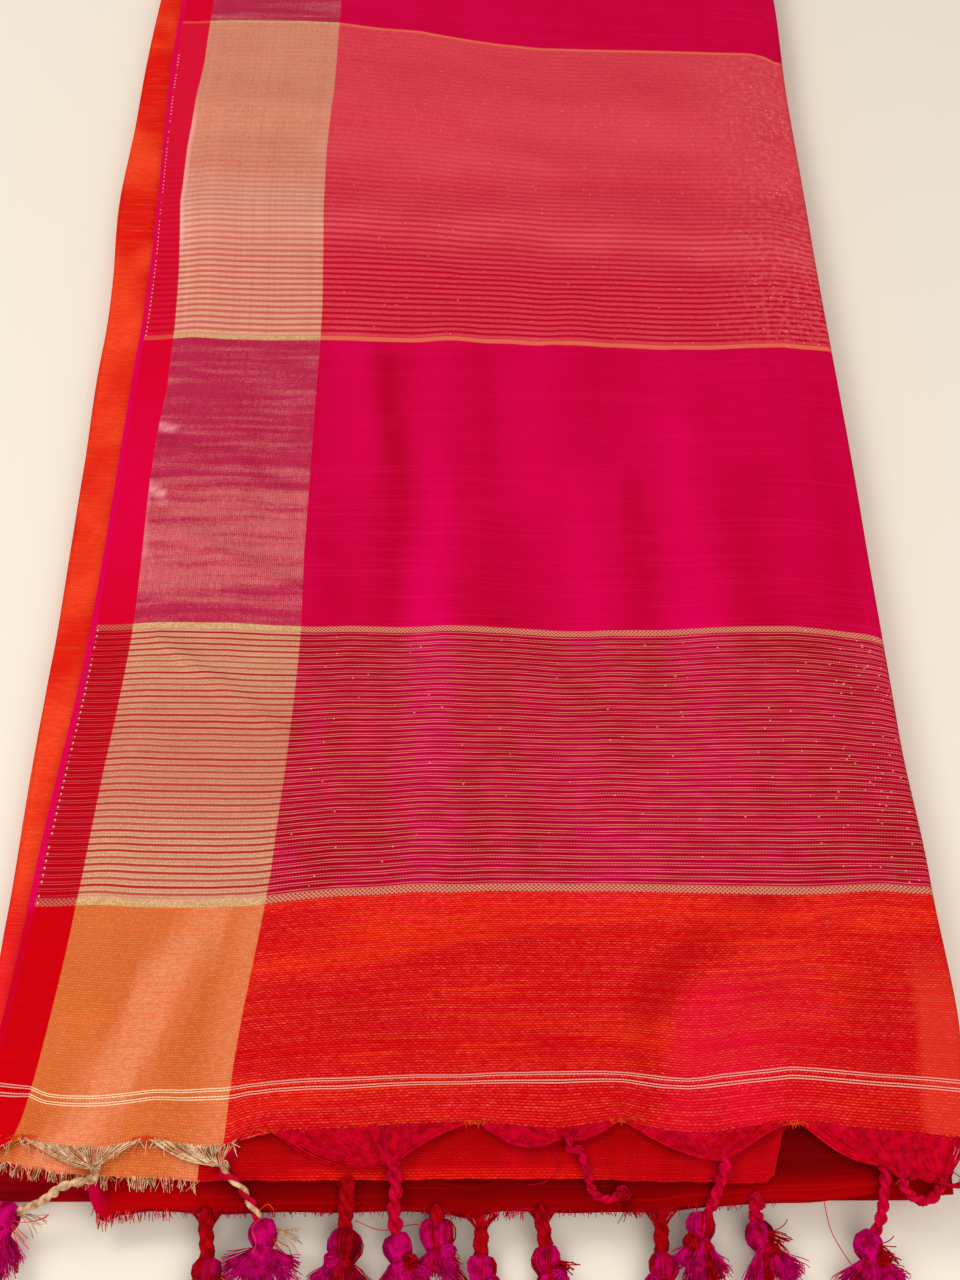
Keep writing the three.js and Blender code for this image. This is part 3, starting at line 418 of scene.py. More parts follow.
def grid_faces(rows, columns, closed=False):
    index = np.arange(rows * columns).reshape(rows, columns)
    if closed:
        index = np.concatenate([index, index[:, :1]], 1)
    quads = np.stack([index[:-1, :-1], index[:-1, 1:], index[1:, 1:], index[1:, :-1]], -1)
    return quads.reshape(-1, 4)


def grid_piece(name, grid, uv, materials):
    rows, columns = grid.shape[:2]
    return make_piece(name, grid.reshape(-1, 3), grid_faces(rows, columns), materials, uv.reshape(-1, 2))


class Threads:
    """Gathers many thin tubes, each with a slot, into one mesh."""

    def __init__(self):
        self.points, self.faces, self.slots, self.uvs, self.count = [], [], [], [], 0

    def add(self, paths, radius, sides=3, slot=0):
        """paths is (n, k, 3); radius is a number or (n, k); slot is a number or one for each path."""
        paths = np.asarray(paths, float)
        n, k = paths.shape[:2]
        tangent = np.gradient(paths, axis=1)
        tangent /= np.linalg.norm(tangent, axis=2, keepdims=True) + 1e-9
        reference = np.where(np.abs(tangent[:, :1, 2:3]) > 0.8, [[[1.0, 0, 0]]], [[[0, 0, 1.0]]])
        side = np.cross(tangent, np.broadcast_to(reference, tangent.shape))
        side /= np.linalg.norm(side, axis=2, keepdims=True) + 1e-9
        up = np.cross(side, tangent)
        angle = np.arange(sides) * 2 * np.pi / sides
        ring = (side[:, :, None, :] * np.cos(angle)[None, None, :, None]
                + up[:, :, None, :] * np.sin(angle)[None, None, :, None])
        size = np.broadcast_to(np.asarray(radius, float), (n, k))[:, :, None, None]
        points = paths[:, :, None, :] + ring * size
        index = np.arange(n * k * sides).reshape(n, k, sides) + self.count
        index = np.concatenate([index, index[:, :, :1]], 2)
        quads = np.stack([index[:, :-1, :-1], index[:, :-1, 1:], index[:, 1:, 1:], index[:, 1:, :-1]], -1)
        step = np.linalg.norm(np.diff(paths, axis=1), axis=2)
        run = np.concatenate([np.zeros((n, 1)), np.cumsum(step, axis=1)], 1)
        uv = np.stack(np.broadcast_arrays(run[:, :, None], angle[None, None, :]), -1)
        self.points.append(points.reshape(-1, 3))
        self.faces.append(quads.reshape(-1, 4))
        self.uvs.append(uv.reshape(-1, 2))
        self.slots.append(np.repeat(np.broadcast_to(slot, n), (k - 1) * sides))
        self.count += n * k * sides

    def piece(self, name, materials):
        return make_piece(name, np.concatenate(self.points), np.concatenate(self.faces), materials,
                          np.concatenate(self.uvs), np.concatenate(self.slots))


def smooth_path(points, count):
    """Catmull-Rom curve through the points, evenly spaced."""
    p = np.asarray(points, float)
    p = np.concatenate([[2 * p[0] - p[1]], p, [2 * p[-1] - p[-2]]])
    out = []
    for i in range(1, len(p) - 2):
        t = np.linspace(0, 1, 24, endpoint=i == len(p) - 3)[:, None]
        out.append(0.5 * (2 * p[i] + (p[i + 1] - p[i - 1]) * t
                          + (2 * p[i - 1] - 5 * p[i] + 4 * p[i + 1] - p[i + 2]) * t**2
                          + (3 * p[i] - p[i - 1] - 3 * p[i + 1] + p[i + 2]) * t**3))
    dense = np.concatenate(out)
    step = np.concatenate([[0], np.cumsum(np.linalg.norm(np.diff(dense, axis=0), axis=1))])
    at = np.linspace(0, step[-1], count)
    return np.stack([np.interp(at, step, dense[:, k]) for k in range(3)], -1), step[-1]


def rope(threads, points, radius, plies=2, yarns=7, pitch=9.0, slot=0, slots=None, root=0.0):
    """A rope of twisted plies, each a twisted bundle of yarns. It thickens over its first root mm."""
    steps = np.linalg.norm(np.diff(points, axis=0), axis=1)
    path, length = smooth_path(points, max(16, int(steps.sum() / 0.7)))
    tangent = np.gradient(path, axis=0)
    tangent /= np.linalg.norm(tangent, axis=1, keepdims=True)
    side = np.cross(tangent, [0, 0, 1.0])
    side /= np.linalg.norm(side, axis=1, keepdims=True) + 1e-9
    up = np.cross(side, tangent)
    run = np.linspace(0, length, len(path))
    thick = np.clip(0.35 + 0.65 * run / root, 0, 1) if root else np.ones(len(run))
    radius = radius * thick * (1 + 0.05 * np.sin(run / 2.3))
    ply_radius = radius * 0.56
    for i in range(plies):
        a = 2 * np.pi * (run / pitch + i / plies)
        outward = side * np.cos(a)[:, None] + up * np.sin(a)[:, None]
        middle = path + (radius - ply_radius)[:, None] * outward
        bundle = []
        for j in range(yarns):
            b = -2 * np.pi * (run / (pitch * 0.6) + j / yarns)
            spread = ply_radius * 0.62 * (1 + 0.08 * np.sin(run * 1.3 + 2 * j))
            bundle.append(middle + (side * np.cos(b)[:, None] + up * np.sin(b)[:, None]) * spread[:, None])
        chosen = slots[i % len(slots)] if slots else slot
        threads.add(np.array(bundle), ply_radius[None, :] * 0.46, sides=5, slot=chosen)


# Materials.

def linear(channel):
    """One sRGB channel, from 0 to 255, as linear light."""
    c = channel / 255
    return c / 12.92 if c <= 0.04045 else ((c + 0.055) / 1.055) ** 2.4


class Value:
    """An output of a shader node, for sums and products in the usual notation."""

    def __init__(self, graph, socket):
        self.graph, self.socket = graph, socket

    def __add__(self, other):
        return self.graph.math("ADD", self, other)

    def __radd__(self, other):
        return self.graph.math("ADD", other, self)

    def __sub__(self, other):
        return self.graph.math("SUBTRACT", self, other)

    def __rsub__(self, other):
        return self.graph.math("SUBTRACT", other, self)

    def __mul__(self, other):
        return self.graph.math("MULTIPLY", self, other)

    def __truediv__(self, other):
        return self.graph.math("DIVIDE", self, other)


class Graph:
    """Short names for building a shader. A colour is a value, or three sRGB channels from 0 to 255."""

    def __init__(self, name, roughness, specular, sheen=0.0, tint=(1, 1, 1, 1)):
        self.material = bpy.data.materials.new(name)
        self.material.use_nodes = True
        self.tree = self.material.node_tree
        self.shader = self.tree.nodes["Principled BSDF"]
        settings = {"Roughness": roughness, "Specular IOR Level": specular, "Sheen Weight": sheen,
                    "Sheen Roughness": 0.4, "Sheen Tint": tint}
        for socket, value in settings.items():
            self.shader.inputs[socket].default_value = value

    def set(self, socket, value):
        if isinstance(value, Value):
            self.tree.links.new(value.socket, socket)
        elif isinstance(value, tuple):
            socket.default_value = [linear(channel) for channel in value] + [1.0]
        else:
            socket.default_value = value

    def math(self, operation, a, b=0.0):
        node = self.tree.nodes.new("ShaderNodeMath")
        node.operation = operation
        self.set(node.inputs[0], a)
        self.set(node.inputs[1], b)
        return Value(self, node.outputs[0])

    def fract(self, value):
        return self.math("FRACT", value)

    def sine(self, value):
        return self.math("SINE", value)

    def largest(self, a, b):
        return self.math("MAXIMUM", a, b)

    def cell(self, value, size):
        return self.math("FLOOR", value / size)

    def step(self, value, edge, soft):
        """0 before the edge and 1 past it, eased within soft of it."""
        node = self.tree.nodes.new("ShaderNodeMapRange")
        node.interpolation_type = "SMOOTHSTEP"
        self.set(node.inputs["Value"], value)
        node.inputs["From Min"].default_value = edge - soft
        node.inputs["From Max"].default_value = edge + soft
        return Value(self, node.outputs[0])

    def before(self, value, edge, soft):
        return 1.0 - self.step(value, edge, soft)

    def band(self, value, low, high, soft):
        return self.step(value, low, soft) * self.before(value, high, soft)

    def line(self, value, at, half, soft):
        """1 within half of at, falling off over soft."""
        return self.band(value, at - half, at + half, soft)

    def mix(self, share, a, b):
        node = self.tree.nodes.new("ShaderNodeMix")
        node.data_type = "RGBA"
        for index, value in ((0, share), (6, a), (7, b)):
            self.set(node.inputs[index], value)
        return Value(self, node.outputs[2])

    def layers(self, colour, rows):
        """The colour with those of the rows laid over it in turn, each by its share."""
        for share, laid_over in rows:
            colour = self.mix(share, colour, laid_over)
        return colour

    def vector(self, x, y, z):
        node = self.tree.nodes.new("ShaderNodeCombineXYZ")
        for socket, value in zip(node.inputs, (x, y, z)):
            self.set(socket, value)
        return Value(self, node.outputs[0])

    def noise(self, x, y, z, detail=2.0):
        return self.noise_at(self.vector(x, y, z), 1.0, detail)

    def noise_at(self, place, scale, detail=2.0):
        node = self.tree.nodes.new("ShaderNodeTexNoise")
        node.inputs["Scale"].default_value = scale
        node.inputs["Detail"].default_value = detail
        self.set(node.inputs["Vector"], place)
        return Value(self, node.outputs["Fac"])

    def random(self, x, y, z=0.0):
        node = self.tree.nodes.new("ShaderNodeTexWhiteNoise")
        node.noise_dimensions = "3D"
        self.set(node.inputs["Vector"], self.vector(x, y, z))
        return Value(self, node.outputs["Value"])

    def place(self):
        return Value(self, self.tree.nodes.new("ShaderNodeTexCoord").outputs["Object"])

    def uv(self):
        """u and v on the cloth, in millimetres."""
        node = self.tree.nodes.new("ShaderNodeUVMap")
        node.uv_map = "Cloth"
        parts = self.tree.nodes.new("ShaderNodeSeparateXYZ")
        self.tree.links.new(node.outputs[0], parts.inputs[0])
        return [Value(self, parts.outputs[i]) * 1000.0 for i in (0, 1)]

    def attribute(self, name):
        node = self.tree.nodes.new("ShaderNodeAttribute")
        node.attribute_name = name
        return Value(self, node.outputs["Fac"])

    def plain_weave(self, u, v):
        """The cells of pick and end, 1 where the end is on top, and the relief."""
        pick, end = self.cell(v, THREAD), self.cell(u, THREAD)
        over = self.math("MODULO", pick + end, 2.0)
        return pick, end, over, self.sine(u * (math.pi / THREAD)) * self.sine(v * (math.pi / THREAD))

    def finish(self, colour, bump=None, strength=0.4, distance=0.00025, roughness=None, metallic=None):
        for name, value in (("Base Color", colour), ("Roughness", roughness), ("Metallic", metallic)):
            if value is not None:
                self.set(self.shader.inputs[name], value)
        if bump is not None:
            node = self.tree.nodes.new("ShaderNodeBump")
            node.inputs["Strength"].default_value = strength
            node.inputs["Distance"].default_value = distance
            self.set(node.inputs["Height"], bump)
            self.tree.links.new(node.outputs[0], self.shader.inputs["Normal"])
        return self.material


def pallu_material(name, lines=1.0):
    """The decorated end: slubbed end zone, striped bands, plain zones and the metallic border."""
    g = Graph(name, roughness=0.8, specular=0.015, sheen=0.02, tint=(1, 0.05, 0.2, 1))
    u, v0 = g.uv()
    flames = g.noise(u * 0.16, v0 * 0.03, 23.0, 2.0)
    # Painted sheen (above 0) and painted shade (below 0) from the top layer's attribute, streaked by noise.
    # The zones below mix in its light part as painted sheen and its dark part as painted shade.
    painted_sheen = g.attribute("PaintedSheen") * (0.62 + flames * 0.8)
    painted_sheen_light = g.largest(painted_sheen, 0.0)
    painted_sheen_shade = g.largest(painted_sheen * -1.0, 0.0)
    waver = g.noise(u * 0.03, v0 * 0.05, 3.0) - 0.5
    v = v0 + waver * 0.9
    border = g.band(u, *BORDER_U, 0.25)
    left = g.before(u, BORDER_U[0], 0.25)
    selvedge = g.before(u, 2.1, 0.2)

    # The weave: picks that float in patches over the ends, with slubs.
    pick, end, over, wave = g.plain_weave(u, v)
    thread = g.random(pick, end, 1.0)
    row = g.cell(v, 0.84)
    ridge = g.band(g.fract(v / 0.84), 0.2, 0.72, 0.18)
    fibre = g.noise(u * 0.4, row * 3.3, 9.0, 1.0)
    tie = g.math("MODULO", row + g.cell(u, 0.8), 2.0)
    weave = g.noise(u * 0.5, v * 0.9, 61.0, 2.0)
    float_ = (ridge * (0.42 + g.step(fibre, 0.48, 0.16) * 0.58) * (0.5 + tie * 0.5)
              * (0.5 + g.step(weave, 0.5, 0.14) * 0.5))
    end_ridge = g.band(g.fract(u / 0.7), 0.2, 0.75, 0.18)
    strand = g.noise(g.cell(u, 0.7) * 3.1, v * 0.25, 13.0, 1.0)
    pick_value = g.random(pick, 0.0, 2.0)
    end_value = g.random(end, 0.0, 5.0)
    cloudy = g.noise(u * 0.014, v * 0.02, 8.0, 3.0)
    stretch = g.noise(u * 0.012, pick * 3.7, 1.0, 1.0)
    cluster = g.noise(u * 0.014, v * 0.05, 27.0, 2.0)
    crowded = (cluster - 0.5) * 0.9
    slub_line = g.step(stretch + crowded * 0.5, 0.595, 0.04)
    pair = g.noise(u * 0.02, g.cell(v, 1.0) * 2.9, 4.0, 1.0)
    heavy = g.step(pair + crowded, 0.66, 0.07) * (0.55 + thread * 0.7)
    patchy = g.noise(u * 0.02, v * 0.22, 14.0, 2.0)
    slub = g.largest(slub_line, heavy)

    # End zone: red and crimson lengthwise threads, red-orange crosswise ones with brighter slubs.
    middle = g.before(u, 214.0, 34.0)
    warm = g.step(cluster + g.step(v, 66.0, 20.0) * 0.14 + middle * 0.12 - 0.17, 0.52, 0.14)
    corner = g.step(u, 226.0, 18.0) * g.before(v, 34.0, 20.0)
    lively = 1.0 - corner * 0.7
    warm = warm * lively
    zone_weft = g.layers((244, 30, 34), [
        (warm, (255, 62, 42)),
        (pick_value * thread * 0.75, (255, 116, 104)),
        (slub_line * lively * 0.7, (255, 98, 42)),
        (heavy * lively * 0.6, (255, 92, 30)),
    ])
    # Here and below, painted sheen lightens the end zone and painted shade deepens it.
    zone_warp = g.layers((188, 0, 4), [
        (warm, (206, 0, 6)),
        (heavy * lively * 0.35, (236, 44, 18)),
        (painted_sheen_light * 0.8, (206, 0, 40)),
    ])
    zone = g.layers(zone_warp, [
        (float_, zone_weft),
        (painted_sheen_light * 0.3, (228, 8, 48)),
        (painted_sheen_shade * 0.5, (172, 0, 4)),
    ])
    right_strip = g.step(u, 282.0, 2.0) * g.before(v, 52.0, 16.0)
    zone = g.mix(right_strip * 0.32, zone, (240, 74, 52))
    # A painted highlight: a slanting streak across the border, and paler again near its right side.
    lean_end = u + v * -0.33 + (flames - 0.5) * 16.0
    painted_highlight = g.largest(g.band(lean_end, 25.0, 42.0, 6.0), g.step(u, 70.0, 6.0) * 0.6)
    zone_border = g.layers((206, 98, 38), [
        (painted_highlight, (242, 146, 106)),
        (g.step(cloudy, 0.5, 0.16) * 0.4, (226, 120, 62)),
        (slub_line * 0.4, (240, 112, 48)),
        (float_ * end_ridge * 0.5, (254, 186, 140)),
        ((1.0 - ridge) * 0.16, (184, 78, 26)),
        (g.before(weave, 0.5, 0.12) * 0.3, (196, 84, 26)),
        ((1.0 - end_ridge) * thread * 0.5, (186, 80, 28)),
    ])
    zone_left = g.mix(pick_value * 0.4, (206, 0, 12), (180, 0, 6))

    # Plain zone, shot: brighter with painted sheen where the cloth leans one way, deeper with painted shade
    # where it leans the other.
    plain = g.layers((194, 0, 46), [
        (g.noise(u * 0.04, v * 0.008, 12.0, 3.0), (212, 0, 76)),
        (painted_sheen_light * 0.5, (228, 0, 92)),
        (painted_sheen_shade * 0.75, (180, 0, 38)),
        (g.step(stretch, 0.6, 0.06) * 0.18, (236, 24, 90)),
        (thread * 0.08, (140, 0, 30)),
    ])
    streaks = g.step(patchy * 0.7 + thread * 0.12 + g.band(v, 205.0, 262.0, 14.0) * 0.16, 0.5, 0.14)
    # The plain zone's metallic border, with painted highlights and painted shade along its creases.
    mauve = g.layers((178, 8, 60), [
        (g.noise(u * 0.05, v * 0.03, 21.0, 3.0), (200, 44, 88)),
        (streaks * 0.62, (224, 116, 116)),
        (end_value * 0.2, (156, 10, 52)),
        (float_ * end_ridge * (0.15 + streaks * 0.5), (244, 176, 160)),
        ((1.0 - end_ridge) * g.step(strand, 0.46, 0.1) * 0.5, (150, 0, 44)),
        (painted_sheen_light * 0.5, (244, 170, 180)),
        (painted_sheen_shade * 0.65, (158, 0, 54)),
    ])
    plain_left = g.layers((214, 0, 42), [
        (end_value * 0.2, (190, 0, 34)),
        (g.band(v, 218.0, 306.0, 26.0) * 0.7, (220, 0, 66)),
    ])

    # Lower striped band, 2.5 mm from stripe to stripe.
    phase = g.fract((v - LOW_BAND) / LOW_STRIPE)
    stripe_value = g.random(g.cell(v - LOW_BAND, LOW_STRIPE), 3.0)
    crimson = g.band(phase, 0.62, 0.98, 0.06) * (0.68 + stripe_value * 0.3)
    between = g.line(phase, 0.33, 0.03, 0.05)
    low_border = g.layers((196, 128, 96), [
        (g.noise(u * 0.06, v * 0.2, 31.0, 3.0), (216, 166, 128)),
        (over * thread * 0.4, (250, 226, 186)),
        (between * 0.8, (188, 56, 62)),
        ((1.0 - end_ridge) * thread * 0.4, (176, 96, 70)),
        (g.band(v, 112.0, 160.0, 14.0) * 0.3, (192, 74, 70)),
        (crimson, (174, 12, 36)),
    ])
    dashes = g.noise(u * 0.075, pick * 5.3, 17.0, 1.0)
    gold_lines = g.line(phase, 0.15, 0.045, 0.05) + g.line(phase, 0.5, 0.045, 0.05)
    dotted = 0.24 + over * 0.3 + g.step(dashes, 0.5, 0.1) * 0.34
    # The band's ground, lightened by painted sheen and deepened by painted shade.
    low_base = g.layers((160, 0, 26), [
        (g.step(g.noise(u * 0.06, v * 0.035, 19.0, 3.0), 0.5, 0.24), (182, 0, 56)),
        (painted_sheen_light * 0.6, (206, 0, 84)),
        (painted_sheen_shade * 0.7, (168, 0, 26)),
    ])
    low_right = g.mix(gold_lines * dotted, low_base, (248, 156, 130))
    low_left = g.mix(gold_lines * dotted * 0.6, (180, 0, 22), (240, 112, 110))

    # Upper striped band, 3.45 mm from stripe to stripe near its start, fading into an even mixture.
    phase_up = g.fract((v - (UP_BAND + 3.0)) / UP_STRIPE)
    lean = v + u * 0.06 + (cloudy - 0.5) * 50.0
    fading = g.before(lean, 452.0, 62.0)
    deeper = g.before(v + u * 0.03, 404.0, 14.0)
    dark_up = g.band(phase_up, 0.5, 0.97, 0.1) * (0.12 + fading * 0.66 + deeper * 0.2)
    # Painted sheen here too, and across v 404 to 446 a paler band: a painted highlight on the crosswise
    # ridge.
    up_border = g.layers((206, 116, 92), [
        (g.noise(u * 0.03, v * 0.08, 41.0, 3.0), (220, 146, 118)),
        (deeper * 0.6, (234, 172, 146)),
        (g.band(v, 404.0, 446.0, 14.0) * 0.5, (236, 180, 162)),
        (end_value * 0.22, (186, 92, 76)),
        (over * thread * 0.3, (248, 208, 170)),
        (painted_sheen_light * 0.4, (238, 190, 160)),
        (dark_up * 0.72, (192, 54, 58)),
    ])
    # A painted highlight along the border's left edge, from v 404 to 494.
    painted_edge_highlight = g.line(u, 16.4, 1.0, 1.2) * g.band(v, 404.0, 494.0, 12.0) * 0.6
    up_border = g.mix(painted_edge_highlight, up_border, (250, 178, 172))
    # Lightened by painted sheen and deepened by painted shade.
    up_right = g.layers((202, 40, 62), [
        (g.noise(u * 0.02, v * 0.05, 45.0, 3.0), (222, 66, 82)),
        (deeper * 0.45, (214, 34, 68)),
        (painted_sheen_light * 0.45, (232, 92, 104)),
        (painted_sheen_shade * 0.5, (196, 24, 54)),
        (over * thread * 0.22, (242, 140, 120)),
    ])
    frosted = g.step(u, 258.0, 22.0) * g.step(g.noise(u * 0.4, v * 0.25, 51.0, 3.0), 0.56, 0.12) * 0.22
    up_right = g.layers(up_right, [
        (dark_up * 0.95, (180, 0, 34)),
        (frosted, (236, 128, 122)),
    ])
    up_left = g.mix(dark_up * 0.7, (214, 16, 50), (186, 0, 32))

    def across(middle, strip, rest):
        return g.mix(left, g.mix(border, rest, middle), strip)

    colour = across(zone_border, zone_left, zone)
    magenta = across(mauve, plain_left, plain)
    colour = g.layers(colour, [
        (g.step(v, LOW_BAND, 0.2), across(low_border, low_left, low_right)),
        (g.step(v, PLAIN_ZONE, 0.2), magenta),
        (g.step(v, UP_BAND, 0.25), across(up_border, up_left, up_right)),
        (g.step(v, PLAIN_END, 0.35), magenta),
    ])

    # The boundary lines and the four thin metallic lines of the end zone.
    bounds = (g.band(v, LOW_BAND, LOW_BAND + 2.6, 0.25)
              + g.band(v, PLAIN_ZONE - 2.2, PLAIN_ZONE + 0.2, 0.25)
              + g.band(v, UP_BAND, UP_BAND + 2.6, 0.3)
              + g.band(v, PLAIN_END - 1.2, PLAIN_END + 0.6, 0.3))
    ribbed = 0.3 + g.step(g.fract(v / 0.75), 0.45, 0.3) * 0.35 + over * 0.2
    shifted = g.fract(u / 1.5 + g.cell(v, 0.65) * 0.5)
    dashed = g.band(shifted, 0.2, 0.8, 0.12) * (0.5 + ribbed * 0.6)
    upper = g.step(v, 300.0, 10.0)
    dash_colour = g.mix(upper, (220, 150, 118), (232, 118, 84))
    bound_colour = g.mix(border, g.mix(dashed, g.mix(upper, (166, 24, 40), (216, 78, 66)), dash_colour),
                         g.mix(over * thread, (198, 146, 98), (234, 200, 150)))
    faded = 1.0 - left * 0.55
    colour = g.mix(bounds * faded * (1.0 - selvedge), colour, bound_colour)
    zari = (g.line(v, 16.0, 0.13, 0.1) + g.line(v, 15.3, 0.13, 0.1) + g.line(v, 13.7, 0.13, 0.1)
            + g.line(v, 13.0, 0.13, 0.1))
    between_zari = g.line(v, 15.65, 0.14, 0.1) + g.line(v, 13.35, 0.14, 0.1)
    away = 1.0 - border * 0.8
    colour = g.mix(between_zari * away * (0.6 * lines), colour, (140, 0, 12))
    shine = 0.42 + over * 0.36 + border * 0.22
    colour = g.mix(zari * shine * lines, colour, g.mix(border, (255, 214, 196), (255, 232, 190)))

    # The narrow selvedge, its row of pale dots beside the striped bands, and sparks of metal at the right.
    selvedge_colour = g.mix(g.step(v, 78.0, 3.0), (198, 0, 36), (218, 0, 80))
    colour = g.mix(selvedge * 0.9, colour, selvedge_colour)
    striped = g.band(v, LOW_BAND, PLAIN_ZONE, 0.5) + g.band(v, UP_BAND, 540.0, 0.5)
    dot_phase = g.fract(v / 2.5)
    dots = (g.line(dot_phase, 0.5, 0.12, 0.14) * g.line(u, 2.8, 0.2, 0.2) * striped
            * g.step(g.random(g.cell(v, 2.5), 7.0), 0.15, 0.05))
    colour = g.mix(dots, colour, (255, 206, 222))
    scattered = g.random(g.cell(u, 0.55), g.cell(v, 0.5), 11.0)
    crowd = g.step(u, 270.0, 16.0) * g.step(cloudy, 0.5, 0.08) * 0.012
    specks = g.step(scattered + crowd, 0.9992, 0.0005) * striped * g.step(u, 80.0, 2.0)
    colour = g.mix(specks * 0.5, colour, (255, 200, 186))

    # The second layer: a copy of the cloth's end in painted shade, deep red where the top layer's arches
    # cover it, streaked by painted fold shade and lighter orange-red along its own edge.
    if lines == 0.0:
        painted_shade_area = 1.0 - g.largest(border, left)
        folds = g.step(g.noise(u * 0.09, v * 0.012, 3.0, 2.0), 0.5, 0.2)
        deep = g.mix(folds, (166, 0, 2), (186, 0, 16))
        low = g.before(v, 3.2, 1.6) * g.band(u, 104.0, 196.0, 12.0)
        deep = g.layers(deep, [
            (low * 0.7, g.mix(float_ * 0.8, (200, 2, 4), (252, 54, 30))),
            # Painted shade at the right, where the layer lies in the shadow of an arch.
            (g.step(u, 228.0, 12.0), (176, 0, 14)),
        ])
        colour = g.layers(colour, [
            (painted_shade_area * 0.9, deep),
            # Painted shadow past v 9, under the top layer's edge.
            (painted_shade_area * g.step(v, 9.0, 4.0) * 0.45, (132, 0, 0)),
        ])

    # Relief: the plain weave, ribbed a little where the picks are thick.
    weave = wave * 0.4 + float_ * 1.2 + thread * 0.3 + slub * 0.6 + pick_value * 0.3
    metal = border * 0.2 + zari * 0.3
    rough = 0.78 - (border * 0.28 + thread * 0.08)
    return g.finish(colour, roughness=rough, bump=weave, metallic=metal)


def shaded_deep_material(name):
    """The lower layers' end: deep red in painted shade, darker under the layer above, magenta centre fold.
    """
    g = Graph(name, roughness=0.82, specular=0.015, sheen=0.02, tint=(1, 0.05, 0.1, 1))
    u, v = g.uv()
    pick, end, over, wave = g.plain_weave(u, v)
    stretch = g.noise(u * 0.03, pick * 3.1, 6.0, 1.0)
    broad = g.noise(u * 0.08, v * 0.1, 9.0, 2.0)
    sides = g.largest(g.before(u, 157.0, 5.0), g.step(u, 228.0, 8.0) * 0.55)
    # Dark red in painted shade, lighter near its own edge and at its sides.
    colour = g.layers((104, 0, 0), [
        (broad, (130, 0, 2)),
        (g.before(v, 3.0, 2.5) * 0.4, (156, 0, 2)),
        (sides * 0.8, g.mix(broad, (166, 0, 2), (192, 0, 8))),
        (g.step(stretch, 0.6, 0.05) * 0.35, (190, 8, 8)),
        (over * 0.2, (160, 0, 4)),
        # Painted shadow past v 6, under the second layer's edge.
        (g.step(v, 6.0, 3.5) * 0.75, (84, 0, 0)),
    ])
    fold = g.before(u, 139.8, 1.6) * g.before(v, 9.0, 4.0)
    colour = g.mix(fold * 0.85, colour, (208, 0, 62))
    return g.finish(colour, bump=wave + stretch * 1.2)


def body_material():
    g = Graph("body_cloth", roughness=0.8, specular=0.015, sheen=0.03, tint=(1, 0.2, 0.1, 1))
    u, v = g.uv()
    pick, end, over, wave = g.plain_weave(u, v)
    thread = g.random(pick, end, 2.0)
    stretch = g.noise(u * 0.05, pick * 3.1, 2.0, 2.0)
    patch = g.noise(u * 0.03, v * 0.024, 5.0, 2.0)
    redder = g.step(patch + g.step(v, 330.0, 90.0) * 0.08, 0.53, 0.2)
    weft = g.layers((255, 88, 44), [
        (redder, (236, 30, 20)),
        (g.step(stretch, 0.58, 0.06) * 0.35, (255, 110, 50)),
    ])
    warp = g.mix(redder, (244, 52, 30), (206, 10, 12))
    colour = g.mix(0.3 + over * 0.45 + thread * 0.15, warp, weft)
    grain = g.noise(u * 0.3, pick * 2.3, 7.0, 1.0)
    colour = g.layers(colour, [
        (g.step(grain, 0.5, 0.12) * 0.35, (216, 24, 16)),
        (g.before(v, 72.0, 34.0) * 0.6, (238, 14, 46)),
        # Painted shade: dark red over the near end of the fold.
        (g.before(v, 6.0, 9.0), (150, 2, 14)),
    ])
    return g.finish(colour, bump=wave + stretch * 1.2)


def yarn_material(name, dark, light, roughness=0.75, metallic=None, sheen=0.06):
    """Threads: colour varies from strand to strand and along them, with a fine twist."""
    g = Graph(name, roughness=roughness, specular=0.03, sheen=sheen, tint=(1, 0.1, 0.4, 1))
    u, v = g.uv()
    colour = g.mix(g.step(g.noise_at(g.place(), 420.0, 3.0), 0.5, 0.2), dark, light)
    return g.finish(colour, bump=g.sine(u * 9.0 + v), strength=0.25, distance=0.0001, metallic=metallic)


pallu = pallu_material("pallu_cloth")
pallu_second = pallu_material("pallu_cloth_second", lines=0.0)
pallu_deep_shaded = shaded_deep_material("pallu_cloth_deep_shaded")
body_cloth = body_material()
GOLD = yarn_material("gold_yarn", (208, 160, 112), (255, 234, 198), 0.4, metallic=0.12, sheen=0.04)
DARK_GOLD = yarn_material("dark_gold_yarn", (140, 84, 44), (206, 146, 88), roughness=0.5)
MAGENTA = yarn_material("magenta_yarn", (160, 0, 26), (210, 0, 56))
CRIMSON = yarn_material("crimson_yarn", (186, 0, 12), (218, 2, 36))
PURPLE = yarn_material("purple_yarn", (152, 0, 52), (214, 0, 116))
RED = yarn_material("red_yarn", (132, 0, 4), (184, 0, 16))
ORANGE = yarn_material("orange_yarn", (222, 38, 4), (250, 82, 14))
PINK = yarn_material("pink_yarn", (222, 44, 40), (250, 128, 110))
OLD_GOLD = yarn_material("old_gold_yarn", (168, 116, 78), (234, 196, 156), 0.4, metallic=0.12)
PINK_GOLD = yarn_material("pink_gold_yarn", (220, 130, 88), (250, 190, 140), roughness=0.5)


# Cloth shells.

def columns(start, end, step):
    return np.linspace(start, end, int(round((end - start) / step)) + 1)


def fold_arc(x, top, bottom, side):
    """Half circle from the top height to the bottom one, at a fold."""
    angle = np.linspace(0, np.pi, FOLD_STEPS + 1)[1:]
    middle, radius = (top + bottom) / 2, (top - bottom) / 2
    return x + side * abs(radius) * np.sin(angle), middle + radius * np.cos(angle)


